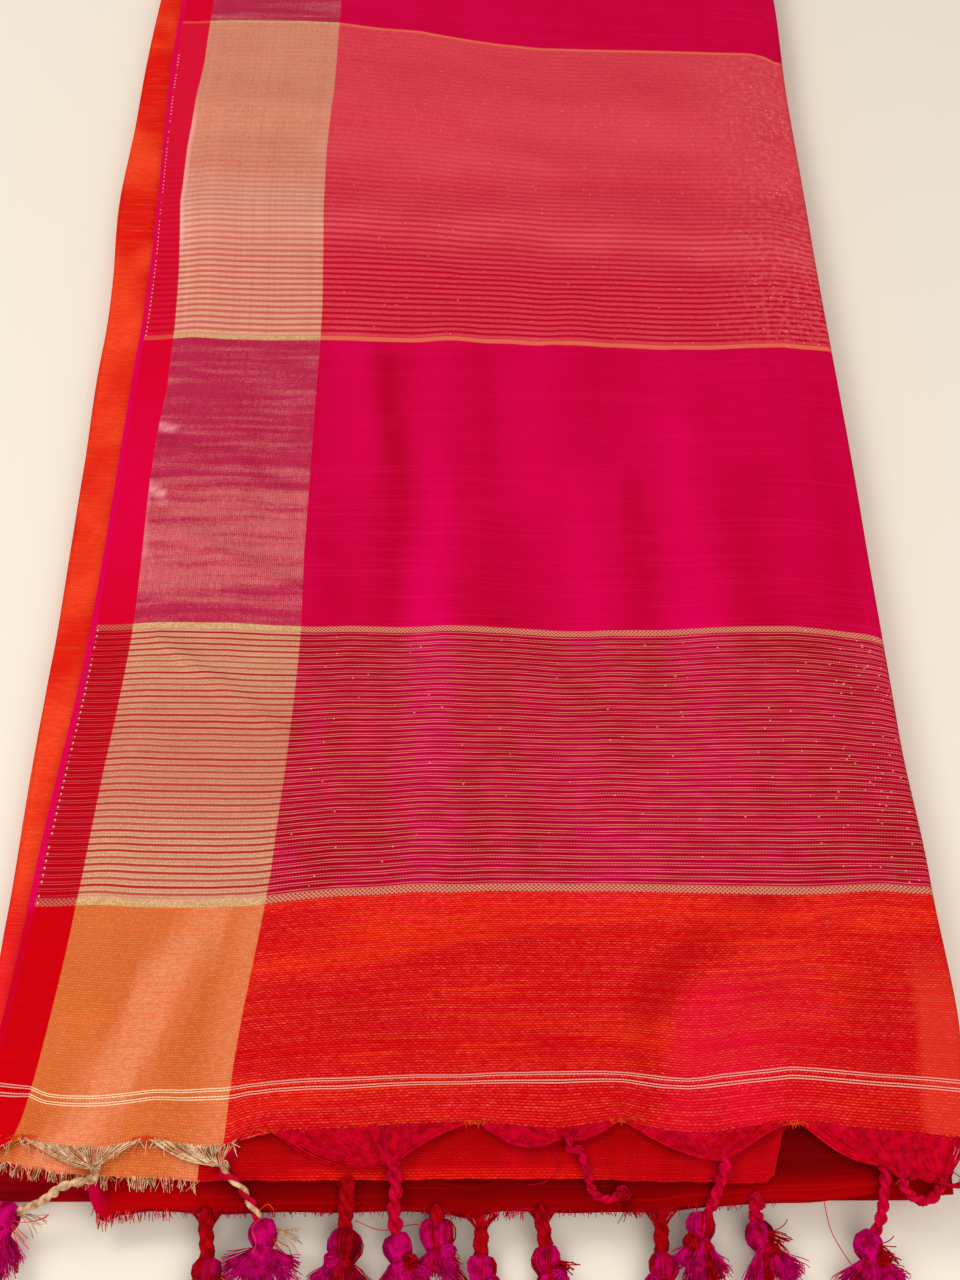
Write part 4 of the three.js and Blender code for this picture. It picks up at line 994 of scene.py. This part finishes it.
def layer_grid(x, height, edge, step, lift, uv_of):
    """Points and uv of a layer, from columns at x and height that start at the given edge."""
    t = rows_from(edge, step)
    xs = np.broadcast_to(x, t.shape)
    hs = np.broadcast_to(height, t.shape)
    y = np.minimum(t, TURN_Y)
    raised = np.where(t <= TURN_Y, lift(xs, hs, y), 0)
    return stretch_point(xs, hs, t, raised), uv_of(xs, t)


flat_x = columns(0, TOP_FOLD_X, 2.0)
arc_x, arc_h = fold_arc(TOP_FOLD_X, TOP_OUTER, TOP_LOW, 1)
top_x = np.concatenate([flat_x, arc_x, [291, 289.6]])
top_h = np.concatenate([np.full(len(flat_x), TOP_OUTER), arc_h, [TOP_LOW, TOP_LOW]])
frayed = 0.25 * np.sin(top_x * 2.1) + 0.2 * np.sin(top_x * 5.3)
top_edge = straight(WOVEN_EDGE, top_x)
grid, uv = layer_grid(top_x, top_h, top_edge + frayed, TOP_STEP,
                      lambda x, h, y: np.where(h >= TOP_OUTER - 0.01, top_lift(x, y), 0), cloth_uv)
top_cloth = grid_piece("top_cloth", grid, uv, [pallu])
# Painted sheen and painted shade at each point of the top layer, as an attribute for its material.
rows = rows_from(top_edge, TOP_STEP)
painted_sheen = painted_sheen_at(np.broadcast_to(top_x, rows.shape), np.minimum(rows, TURN_Y))
top_cloth.data.attributes.new("PaintedSheen", "FLOAT", "POINT").data.foreach_set("value", painted_sheen.ravel())

flat_x = np.concatenate([columns(0.5, 228, 3.0), columns(229, 244, 0.75), columns(247, INNER_FOLD_X, 3.0)])
arc_x, arc_h = fold_arc(INNER_FOLD_X, SECOND_UPPER, SECOND_LOW, 1)
x = np.concatenate([flat_x, arc_x, [276.6, 275.1]])
h = np.concatenate([np.full(len(flat_x), SECOND_UPPER), arc_h, [SECOND_LOW, SECOND_LOW]])


def second_uv(x, t):
    return np.stack([x + 9.5, length_along(t) - along(SECOND_WOVEN, x)], -1)


def second_lift(x, h, y):
    ripple = 0.22 * np.sin(x / 5.7 + 1) * np.exp(-np.maximum(0, y) / 20)
    return np.where(h >= SECOND_UPPER - 0.01, ripple - sink(x, y), 0)


frayed = 0.2 * np.sin(x * 2.7)
grid, uv = layer_grid(x, h, along(SECOND_WOVEN, x) + frayed, LOWER_STEP, second_lift, second_uv)
second_cloth = grid_piece("second_cloth", grid, uv, [pallu_second])

third_top = np.concatenate([columns(CENTRE_FOLD_X, 51, 1.0), columns(54, 274.5, 3.0)])[::-1]
arc_x, arc_h = fold_arc(CENTRE_FOLD_X, THIRD_UPPER, THIRD_LOW, -1)
third_low = columns(CENTRE_FOLD_X + 3, 289, 3.0)
x = np.concatenate([third_top, arc_x, third_low])
h = np.concatenate([np.full(len(third_top), THIRD_UPPER), arc_h, np.full(len(third_low), THIRD_LOW)])


def third_uv(x, t):
    return np.stack([120 + 0.5 * x, length_along(t) - along(THIRD_WOVEN, x)], -1)


def third_lift(x, h, y):
    ripple = 0.2 * np.sin(x / 7.1) * np.exp(-np.maximum(0, y + 10) / 16)
    return np.where(h >= THIRD_UPPER - 0.01, ripple, 0)


frayed = 0.2 * np.sin(x * 1.9)
grid, uv = layer_grid(x, h, along(THIRD_WOVEN, x) + frayed, LOWER_STEP, third_lift, third_uv)
third_cloth = grid_piece("third_cloth", grid, uv, [pallu_deep_shaded])


def pile_ring(near, far, left_shift, right, inset, z):
    """One level of the pile: a rounded outline whose left side follows the cloth's own."""
    near, far, right = near + inset, far - inset * 0.3, right - inset
    r = PILE_CORNER
    steps_y = np.linspace(near + r, far - r, 150)
    left = along(PILE_LEFT, steps_y) + left_shift + inset
    l0, l1 = left[0], left[-1]
    far_right = right + along(RIGHT_STRAY, far)

    def corner(x, y, start):
        """A quarter circle about a corner's centre."""
        angle = start + np.linspace(0, np.pi / 2, 8)[1:-1]
        return np.column_stack([x + r * np.cos(angle), y + r * np.sin(angle)])

    def edge(start, end, y):
        return np.column_stack([np.linspace(start, end, 70), np.full(70, y)])

    ring = np.concatenate([
        corner(l0 + r, near + r, np.pi), edge(l0 + r, right - r, near),
        corner(right - r, near + r, -np.pi / 2),
        np.column_stack([right + along(RIGHT_STRAY, steps_y), steps_y]),
        corner(far_right - r, far - r, 0), edge(far_right - r, l1 + r, far),
        corner(l1 + r, far - r, np.pi / 2), np.column_stack([left, steps_y])[::-1]])
    nearness = np.clip(1 - (ring[:, 1] - near) / (far - near), 0, 1)
    ring[:, 1] += 3 * nearness**8 * (ring[:, 0] - l0) / (right - l0)
    wobble = 0.3 * np.sin(ring[:, 0] / 11 + z) + 0.25 * np.sin(ring[:, 1] / 17 + 1.7 * z)
    height = z * (1 + lie(ring[:, 0], np.minimum(ring[:, 1], TURN_Y)) / PILE_TOP)
    return np.column_stack([ring[:, 0] + wobble * (ring[:, 0] < 100), ring[:, 1], height])


def pile_far(z):
    nested = math.sqrt(max(0, 3.65**2 - (z - TURN_Z) ** 2)) - 0.1
    return TURN_Y - 0.4 if z < TOP_OUTER + 0.6 else TURN_Y + max(nested, 0)


rings = []
base = 0.0
for share, near, left_shift, right_shift in PILE_STRETCHES:
    height = share * PILE_TOP
    for q in np.linspace(0.02, 0.98, 13):
        lobe = 2.4 * abs(2 * q - 1) ** 3.2
        ply = 0.35 * abs(2 * ((4 * q) % 1) - 1) ** 2.5
        z = base + q * height
        inset = min(lobe + ply, 0.9 + ply) if base == 0 and q < 0.5 else lobe + ply
        rings.append(pile_ring(near, pile_far(z), left_shift, PILE_RIGHT + right_shift, inset, z))
    base += height
spine = np.column_stack([np.full(len(rings[0]), 146.0), np.full(len(rings[0]), 340.0)])
top_ring, low_ring = rings[-1], rings[0]
for share in (0.008, 0.018, 0.035, 0.06, 0.1, 0.2, 0.45, 0.75, 1.0):
    plan = top_ring[:, :2] + (spine - top_ring[:, :2]) * share
    puff = 0.25 * np.sin(plan[:, 1] / 23) + 0.2 * np.sin(plan[:, 1] / 9.1 + plan[:, 0] / 6)
    z = PILE_TOP - 0.1 + lie(plan[:, 0], np.minimum(plan[:, 1], TURN_Y)) + np.minimum(0, puff)
    rings.append(np.column_stack([plan, z]))
for share in (0.02, 0.3, 1.0):
    plan = low_ring[:, :2] + (spine - low_ring[:, :2]) * share
    rings.insert(0, np.column_stack([plan, np.zeros(len(plan))]))
stack = np.array(rings)
uv = stack[:, :, :2].copy()
uv[:, :, 0] -= (PILE_TOP - stack[:, :, 2]) * 0.8
uv[:, :, 1] -= (PILE_TOP - stack[:, :, 2]) * 0.8
folded_body = make_piece("folded_cloth_body", stack.reshape(-1, 3),
                         grid_faces(*stack.shape[:2], closed=True), [body_cloth], uv.reshape(-1, 2))


# Gathered threads at the end of the weaving.

def on_top(x, y, above=0.0):
    return np.stack([x + stray(x, y), y, top_z(x, y) + above], -1)


def fan(threads, row, per_mm, radius, slots, wild=0.3):
    """Unwoven warp threads that run side by side from the end of the weaving and gather into a cord."""
    start, end, tip_x, tip_y, sag_left, sag_right = row
    count = int((end - start) * per_mm)
    x = (start + (np.arange(count) + rng.uniform(0.2, 0.8, count)) / count * (end - start))[:, None]
    edge = straight(WOVEN_EDGE, x)
    w = np.linspace(0, 1, 12)[None, :]
    outer = np.where(x < tip_x, (tip_x - x) / (tip_x - start), (x - tip_x) / (end - tip_x))
    sag = np.where(x < tip_x, sag_left, sag_right)
    sx, sy = x, edge + 0.9
    ex = tip_x + (x - tip_x) / (end - start) * 3.0
    ey = tip_y + rng.uniform(-0.5, 0.5, (count, 1))
    cx = sx + (ex - sx) * (0.45 + 0.1 * outer)
    cy = edge + (ey - edge) * (0.5 + (sag - 0.5) * outer) * rng.uniform(0.92, 1.08, (count, 1))
    px = (1 - w) ** 2 * sx + 2 * w * (1 - w) * cx + w**2 * ex
    py = (1 - w) ** 2 * sy + 2 * w * (1 - w) * cy + w**2 * ey
    swing = wild * np.sin(w * 4 + 3 * np.sin(x / 5)) * np.sin(np.pi * w) * rng.uniform(0.3, 1, (count, 1))
    above = rng.uniform(0.05, 0.4, (count, 1)) + 1.0 * w**3 * rng.uniform(0, 1, (count, 1))
    above = above + 0.5 * np.sin(x / 2.3) * np.sin(np.pi * w) ** 2
    threads.add(on_top(px + 0.5 * swing, py + 0.3 * swing, np.maximum(above, 0.05)), radius,
                slot=rng.choice(slots, count))


# Slots: 0 magenta, 1 gold, 2 orange, 3 pink gold, 4 red, 5 crimson, 6 dark gold and 7 pink.
fans = Threads()
for row in FANS:
    if row[2] < BORDER_FANS_TO:
        fan(fans, row, 1.9, 0.16, [1, 1, 3, 6], wild=0.9)
    else:
        fan(fans, row, 4.6, 0.17, [5, 5, 5, 0], wild=0.2)
# Crimson threads mixed in where the metallic border ends.
fan(fans, (73, 80, 74.8, -10, 0.4, 0.4), 3.0, 0.15, [5, 0], wild=0.5)
# A few threads of the third fan lie lower and cross the others.
fan(fans, (88, 118, 122, -9.5, 1.25, 0.5), 2.2, 0.15, [5], wild=0.5)
# Loose short ends along the metallic border.
count = 90
x = rng.uniform(1, 78, count)
w = np.linspace(0, 1, 7)[None, :]
reach = rng.uniform(1.5, 6, (count, 1))
turn = rng.normal(0, 0.5, (count, 1))
px = x[:, None] + reach * np.sin(turn) * w + rng.normal(0, 0.8, (count, 1)) * w**2
py = straight(WOVEN_EDGE, x)[:, None] + 1.2 - reach * w * np.cos(turn)
fans.add(on_top(px, py, 0.3 + rng.uniform(0, 0.8, (count, 1)) * w), 0.12,
         slot=rng.choice([1, 1, 3], count))
# The last weft threads, and little tufts where they fray at the tops of the arches.
for k, slot in enumerate((7, 5, 5)):
    x = np.linspace(79, 293, 800)
    y = straight(WOVEN_EDGE, x) + 0.2 + 0.55 * k + 0.2 * np.sin(x * 0.6 + 2 * k)
    bob = np.sin(x * 2.9 + k * np.pi + 1.5 * np.sin(x / 3.1))
    fans.add(on_top(x, y, 0.02 + 0.15 * bob)[None], 0.12, slot=slot)
for ax, ay in ((87, -0.2), (149, 3.2), (192, 4.2), (243.5, 3.5), (52, -3), (14, -2)):
    count = 24
    turn = rng.uniform(-1.4, 1.4, (count, 1))
    reach = rng.uniform(1.0, 3.2, (count, 1))
    px = ax + rng.normal(0, 2.2, (count, 1)) + reach * np.sin(turn) * w
    py = ay + 1.2 - reach * np.cos(turn) * w + 0.6 * w**2
    fans.add(on_top(px, py, 0.25 + rng.uniform(0, 0.9, (count, 1)) * np.sin(np.pi * w)), 0.13, slot=2)
gathered = fans.piece("gathered_threads", [MAGENTA, GOLD, ORANGE, PINK_GOLD, RED, CRIMSON, DARK_GOLD, PINK])


def edge_fringe(name, table, x0, x1, height, per_mm, reach, materials, sunk):
    """Short cut threads along a lower layer's edge, from x0 to x1."""
    threads = Threads()
    count = int((x1 - x0) * per_mm)
    x = np.sort(rng.uniform(x0, x1, count))[:, None]
    w = np.linspace(0, 1, 6)[None, :]
    length = rng.uniform(0.45, 1.0, (count, 1)) * reach
    turn = rng.normal(0, 0.36, (count, 1))
    start = along(table, x) + 0.5
    px = x + length * np.sin(turn) * w + rng.normal(0, 0.25, (count, 1)) * w**2
    py = start - (length + 0.5) * np.cos(turn) * w
    z = (PILE_TOP + height + lie(x, py) - sunk(x, py) - 0.08 * w * length
         + rng.uniform(-0.15, 0.2, (count, 1)))
    points = np.stack([px + stray(px, py), py, np.maximum(z, 0.3)], -1)
    slot = rng.integers(0, len(materials), count)
    threads.add(points, 0.13, slot=slot)
    return threads.piece(name, materials)


def third_fringe(name, x0, x1, per_mm, reach, materials):
    return edge_fringe(name, THIRD_WOVEN, x0, x1, THIRD_UPPER - 0.1, per_mm, reach, materials,
                       lambda x, y: 0)


border_fringe = edge_fringe("border_fringe", SECOND_WOVEN, -1, 69, SECOND_UPPER - 0.1, 3.4, 3.8,
                            [GOLD, PINK_GOLD, DARK_GOLD, CRIMSON], sink)
left_fringe = third_fringe("lower_left_fringe", 37, 61, 3.6, 3.0, [RED, MAGENTA, PINK])
middle_fringe = third_fringe("lower_middle_fringe", 153, 163, 3.4, 2.9, [RED, MAGENTA])
edge_threads = third_fringe("lower_edge_threads", 61, 240, 1.6, 1.9, [RED, MAGENTA])


# Cords and tassels.

def resting_z(x, near, far):
    """Top of whatever a cord lies on between two values of y."""
    best = 0.0
    for y in np.linspace(near, far, 5):
        if y > along(SECOND_EDGE, x) - 1:
            best = max(best, PILE_TOP + SECOND_UPPER + 0.15 + float(lie(x, y) - sink(x, y)))
        if x > CENTRE_FOLD_X - 4 and y > along(THIRD_EDGE, x) - 1:
            best = max(best, PILE_TOP + THIRD_UPPER + 0.15 + float(lie(x, y)))
        if y > PILE_STRETCHES[0][1]:
            best = max(best, PILE_STRETCHES[0][0] * (PILE_TOP + float(lie(x, y))))
    return best


def cord_points(x, edge_y, edge_z, corners, head, overlap):
    """A cord's middle line: level from the edge to its head, or resting on what it crosses."""
    start = [(x, edge_y + 0.4, 0), (x, edge_y - 3, 0)]
    plan, _ = smooth_path(start + [(cx, cy, 0) for cx, cy in corners], 14)
    out = []
    for i, (px, py, _) in enumerate(plan):
        share = i / (len(plan) - 1)
        level = edge_z + (head - edge_z) * share
        rest = resting_z(px, py - CORD_RADIUS, py + overlap) + CORD_RADIUS + 0.2
        out.append((px, py, max(level, rest) if head and i < len(plan) - 1 else (head or rest)))
    out[0] = (out[0][0], out[0][1], edge_z)
    out = np.array(out)
    z = out[:, 2]
    for _ in range(2):
        z[1:-1] = np.maximum(z[1:-1], (z[:-2] + z[1:-1] + z[2:]) / 3)
    return out


def pompom(threads, centre, heading, length, spread, slots, count, size):
    """Threads in uneven locks that wrap a round head, draw in at its neck and spread into a skirt."""
    heading = math.radians(heading)
    axis = np.array([math.sin(heading), -math.cos(heading), 0.0])
    side = np.array([math.cos(heading), math.sin(heading), 0.0])
    up = np.array([0, 0, 1.0])
    locks = 11
    lock = rng.integers(0, locks, count)
    fanned = (rng.permutation(locks) + 0.5) / locks * 2 - 1
    lock_turn = np.radians(spread) * 0.8 * fanned
    lock_around = np.arccos(np.clip(fanned * 0.9, -1, 1)) * rng.choice([1, 1, -1], locks)
    lock_length = length * rng.uniform(0.66, 1.0, locks) * (1 - 0.12 * fanned**2)
    lock_slot = np.where(rng.random(locks) < (0.12 if slots[0] == 1 else 0.34), slots[1], slots[0])
    around = lock_around[lock] + rng.normal(0, 0.32, count)
    turn = lock_turn[lock] + rng.normal(0, 0.11, count)
    reach = lock_length[lock] * rng.uniform(0.82, 1.05, count)
    depth = rng.uniform(0.5, 1.0, count) ** 0.5
    lobes = 1 + 0.13 * np.cos(3 * around + rng.uniform(0, 6))
    head_at = np.array([-0.95, -0.7, -0.25, 0.25, 0.65, 0.95]) * size
    head_out = np.array([0.25, 0.78, 1.0, 0.98, 0.76, 0.58]) * size
    skirt = np.linspace(0, 1, 9)[1:]
    run = np.maximum(reach - head_at[-1], 3)[:, None] * skirt[None, :]
    curl = rng.normal(0, 0.6, (count, 1)) * np.sin(skirt[None, :] * rng.uniform(4, 9, (count, 1))
                                                  + rng.uniform(0, 6, (count, 1))) * skirt[None, :] * 1.6
    skirt_ahead = head_at[-1] + run * np.cos(turn)[:, None]
    ahead = np.concatenate([np.broadcast_to(head_at, (count, 6)), skirt_ahead], 1)
    out = (depth * lobes)[:, None] * head_out[None, :]
    skirt_across = (out[:, -1] * np.cos(around))[:, None] + run * np.sin(turn)[:, None] + curl
    across = np.concatenate([out * np.cos(around)[:, None], skirt_across], 1)
    puff = size * (0.55 + 0.5 * np.sin(around))[:, None] * (1 - 0.35 * skirt[None, :])
    rise = np.concatenate([out * np.sin(around)[:, None], puff - 0.25 * size + 0.8 * curl], 1)
    fall = np.clip(ahead / length, 0, 1) ** 1.6 * (centre[2] - 3.0)
    points = (centre + ahead[:, :, None] * axis + across[:, :, None] * side
              + (rise - fall)[:, :, None] * up)
    floor = 0.35 + rng.uniform(0, 2.2, (count, 1))
    points[:, :, 2] = np.maximum(points[:, :, 2], floor)
    slot = np.where(rng.random(count) < 0.1, slots[1], lock_slot[lock])
    threads.add(points, 0.23 - 0.08 * np.linspace(0, 1, points.shape[1])[None, :], slot=slot)
    # A few turns of thread round the neck.
    t = np.linspace(0, 3 * 2 * np.pi, 46)
    ring = (centre + (size * (0.93 + 0.03 * t / 6.28))[:, None] * axis
            + size * 0.6 * (np.cos(t)[:, None] * side + np.sin(t)[:, None] * up))
    ring[:, 2] = np.maximum(ring[:, 2] - 0.04 * (centre[2] - 3.4), 0.4)
    threads.add(ring[None], 0.24, sides=4, slot=slots[0])


def tangle(threads, centre, size, count, slots):
    """A small knot of looped threads."""
    t = np.linspace(0, 2 * np.pi, 15)
    loops = []
    for _ in range(count):
        a, b = rng.normal(size=3), rng.normal(size=3)
        a /= np.linalg.norm(a)
        b -= a * (a @ b)
        b /= np.linalg.norm(b)
        radius = size * rng.uniform(0.45, 1.0)
        loop = centre + radius * (np.cos(t)[:, None] * a + np.sin(t)[:, None] * b * 0.8)
        loop[:, 2] = np.maximum(loop[:, 2], centre[2] - size * 0.8)
        loops.append(loop)
    threads.add(np.array(loops), 0.28, slot=rng.choice(slots, count))


def free_ends(threads, centre, heading, spread, length, count, slot, lift, radius=0.16):
    """Loose threads that spread from a centre."""
    w = np.linspace(0, 1, 9)[None, :]
    turn = np.radians(heading + rng.uniform(-0.5, 0.5, (count, 1)) * spread)
    reach = length * rng.uniform(0.6, 1.05, (count, 1))
    bend = rng.normal(0, 0.35, (count, 1))
    px = centre[0] + reach * w * np.sin(turn + bend * w)
    py = centre[1] - reach * w * np.cos(turn + bend * w)
    rise = lift * np.sin(np.pi * w * 0.9) * rng.uniform(0.3, 1, (count, 1))
    pz = centre[2] + rise - w * (centre[2] - 1) * 0.5
    threads.add(np.stack([px, py, np.maximum(pz, 0.3)], -1), radius, slot=slot)


def gather(threads, x, edge_y, tip):
    """Threads that draw in from the lower layers' edge to the start of a cord."""
    count = 44
    start = rng.uniform(-5.5, 5.5, (count, 1))
    w = np.linspace(0, 1, 8)[None, :]
    px = x + start * (1 - w) ** 1.5 + (tip[0] - x) * w + rng.normal(0, 0.5, (count, 1)) * w
    py = edge_y + 0.6 + (tip[1] - edge_y - 0.6) * w**0.9 + 0 * start
    pz = PILE_TOP + THIRD_UPPER + lie(px, np.maximum(py, -22)) + (tip[2] - PILE_TOP - 1.6) * w**1.5
    pz = pz + rng.uniform(0, 1.2, (count, 1)) * np.sin(np.pi * w)
    threads.add(np.stack([px, py, pz], -1), 0.2, slot=2)


def tassel_piece(row, edge_y, edge_z, overlap, strands, thickness, at_edge=True):
    """A cord with its tassel or frayed knot. At a lower layer's edge, threads draw in to the cord."""
    name, x, corners, head, heading, length, spread, tone = row
    threads = Threads()
    path = cord_points(x, edge_y, edge_z, corners, head, overlap)
    # Slots: 0 magenta, 1 purple, 2 red, 3 old gold and 4 orange.
    if tone == "gold":
        rope(threads, path, GOLD_THICKNESS, plies=2, yarns=7, pitch=8.0, slots=[3, 3] if x < 50 else [3, 0])
        tangle(threads, path[0] + [0, -1.2, 0.2], 1.9, 16, [3])
    elif tone == "magenta":
        rope(threads, path, thickness, plies=2, yarns=8, pitch=4 * thickness, slot=0)
    else:
        rope(threads, path, thickness, plies=3, yarns=6, pitch=12.0, slot=2, root=6.0 if at_edge else 0.0)
        if at_edge:
            gather(threads, x, edge_y, path[5])
    centre = path[-1]
    if head:
        palette = {"gold": (1, 1), "magenta": (1, 2), "red": (2, 1)}[tone]
        size = HEAD_RADIUS * (1.18 if tone == "red" and spread > 50 else 1.0)
        pompom(threads, centre, heading, length, spread, palette, strands, size)
        if tone == "gold":
            tangle(threads, centre + [0, 1.5, 1.5], 2.2, 10, [4, 3])
            free_ends(threads, centre + [0, 0, 1], heading + 35, 50, 12, 8, 4, lift=3.0)
            free_ends(threads, centre + [2.5, 1, 1], heading + 88, 40, 9, 10, 3, lift=1.5)
        else:
            sideways = 3.2 * math.copysign(1, heading + 0.5)
            tangle(threads, centre + [sideways, -5, 1.2], 3.0, 40, [palette[1]])
            if rng.random() > 0.5:
                free_ends(threads, centre + [0, 0, 2], heading + 50, 40, 10, 26, 2, lift=3.5, radius=0.2)
    else:
        tangle(threads, centre, 2.4, 50, [0, 2, 2])
        free_ends(threads, centre, heading, spread * 1.6, length, 24, 2, lift=1.0)
    return threads.piece(f"{name}_yarn", [MAGENTA, PURPLE, RED, OLD_GOLD, ORANGE]), name


tassels = []
for row in TOP_TASSELS:
    name, x = row[:2]
    tip = dict(TOP_EDGE).get(x, -5.5)
    thickness = CORD_THICKNESS.get(name, TOP_THICKNESS)
    tassels.append(tassel_piece(row, tip, float(top_z(x, tip)) - 0.3, CORD_RADIUS, TOP_STRANDS, thickness))
for row in LOWER_TASSELS:
    name, x = row[:2]
    laid = name == LAID_ON_THIRD
    y = -13.5 if laid else float(along(THIRD_WOVEN, x))
    z = PILE_TOP + (4.6 if laid else 2.1) + float(lie(x, y))
    tassels.append(tassel_piece(row, y, z, 0.0, LOWER_STRANDS, LOWER_THICKNESS, at_edge=not laid))

# A few stray threads that lie across the gathered end.
stray_threads = Threads()
for points, slot in (
    ([(104, -4, 17), (106, -13, 14.5), (110, -18, 13.5), (108, -24, 11)], 0),
    ([(112, -24, 12), (120, -26.5, 11), (130, -25, 12), (139, -26, 11)], 0),
    ([(170, -3, 18), (172, -9, 16.5), (168, -13, 15), (163, -14, 14.8)], 0),
    ([(250, -16, 12.5), (252, -24, 8), (256, -30, 4), (259, -33, 1)], 0),
    ([(281, -6, 17), (288, -9, 16), (294, -13, 13.8), (296, -15, 13)], 0),
    ([(84, -22, 14), (86.5, -20.5, 15), (88.5, -23, 14.5), (87.5, -28, 14.5), (90, -33, 12),
      (89, -38, 7)], 1),
    ([(84.5, -25, 15), (82.5, -28, 16), (84, -32, 15.5), (83, -34, 13)], 1),
):
    path, _ = smooth_path(points, 26)
    stray_threads.add(path[None], 0.16, slot=slot)
for dx, dy in ((0, 0), (1.1, -1.2), (-0.9, -1.6), (0.3, 1.2)):
    knot = np.array([273.4 + dx, -10.5 + dy, 17.6])
    free_ends(stray_threads, knot, 0, 360, 2.2, 18, 1, lift=1.3, radius=0.2)
for k in range(9):
    shift = 0.55 * k
    path, _ = smooth_path([(297 - 0.2 * shift, -2 - shift, 16), (295, -8 - 0.8 * shift, 15),
                           (290.5, -12 - 0.4 * shift, 14.5), (284.5, -12.8, 14.5)], 26)
    stray_threads.add(path[None], 0.2, slot=0)
free_ends(stray_threads, np.array([292, -3.5, 17.0]), 40, 50, 13, 40, 0, lift=0.6, radius=0.13)
loose = stray_threads.piece("loose_threads", [MAGENTA, ORANGE])


# Riding and replacing.

for piece, node in [(top_cloth, "pallu_top"), (second_cloth, "pallu_second"), (third_cloth, "pallu_third"),
                    (folded_body, "folded_body"), *tassels, (border_fringe, "fringe_border"),
                    (left_fringe, "fringe_lower_left"), (middle_fringe, "fringe_lower_middle")]:
    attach(piece, "root")
    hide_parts(node)
for piece, slot in ((gathered, "pallu_top"), (loose, "tassel_top_3"), (edge_threads, "pallu_third")):
    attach(piece, "root")


# Floor, light and camera.

def floor_material():
    g = Graph("pale_floor", roughness=0.45, specular=0.3)
    return g.finish(g.mix(g.noise_at(g.place(), 3.0) * 0.3, (240, 232, 217), (234, 225, 208)))


FLOOR_HALF = 6
floor_mesh = bpy.data.meshes.new("floor")
floor_corners = [(x * FLOOR_HALF, y * FLOOR_HALF, 0) for x, y in ((-1, -1), (1, -1), (1, 1), (-1, 1))]
floor_mesh.from_pydata(floor_corners, [], [(0, 1, 2, 3)])
floor_mesh.materials.append(floor_material())
floor = bpy.data.objects.new("floor", floor_mesh)
bpy.context.scene.collection.objects.link(floor)


def look_along(thing, direction):
    thing.rotation_mode = "QUATERNION"
    thing.rotation_quaternion = Vector(direction).to_track_quat("-Z", "Y")
    bpy.context.scene.collection.objects.link(thing)


def area_light(name, location, target, size, power, colour):
    """A soft light. Lengths are in metres."""
    data = bpy.data.lights.new(name, "AREA")
    data.shape = "RECTANGLE"
    data.size, data.size_y = size
    data.energy = power
    data.color = colour
    light = bpy.data.objects.new(name, data)
    light.location = location
    look_along(light, Vector(target) - Vector(location))


area_light("window", (-0.9, 0.5, 1.4), (0, -0.05, 0), (1.0, 0.8), 12.5, (1.0, 0.98, 0.95))
area_light("fill", (0.35, -1.15, 1.15), (0, -0.2, 0), (1.4, 1.2), 15, (1.0, 0.97, 0.94))
world = bpy.data.worlds.new("studio")
bpy.context.scene.world = world
world.use_nodes = True
background = world.node_tree.nodes["Background"]
background.inputs["Color"].default_value = (1.0, 0.98, 0.95, 1)
background.inputs["Strength"].default_value = 0.44
bpy.context.scene.view_settings.view_transform = "Standard"

# The camera, solved from the pile's outline in the photo, in design millimetres and degrees.
CAMERA_AT = (150.3, -211.7, 527.2)
YAW, DOWN = math.radians(0.497), math.radians(51.872)
lens = bpy.data.cameras.new("camera")
lens.lens = 50
lens.sensor_width = 36
camera = bpy.data.objects.new("camera", lens)
camera.location = (np.array(CAMERA_AT) + SHIFT) * MM
look_along(camera, (-math.sin(YAW) * math.cos(DOWN), math.cos(YAW) * math.cos(DOWN), -math.sin(DOWN)))
bpy.context.scene.camera = camera
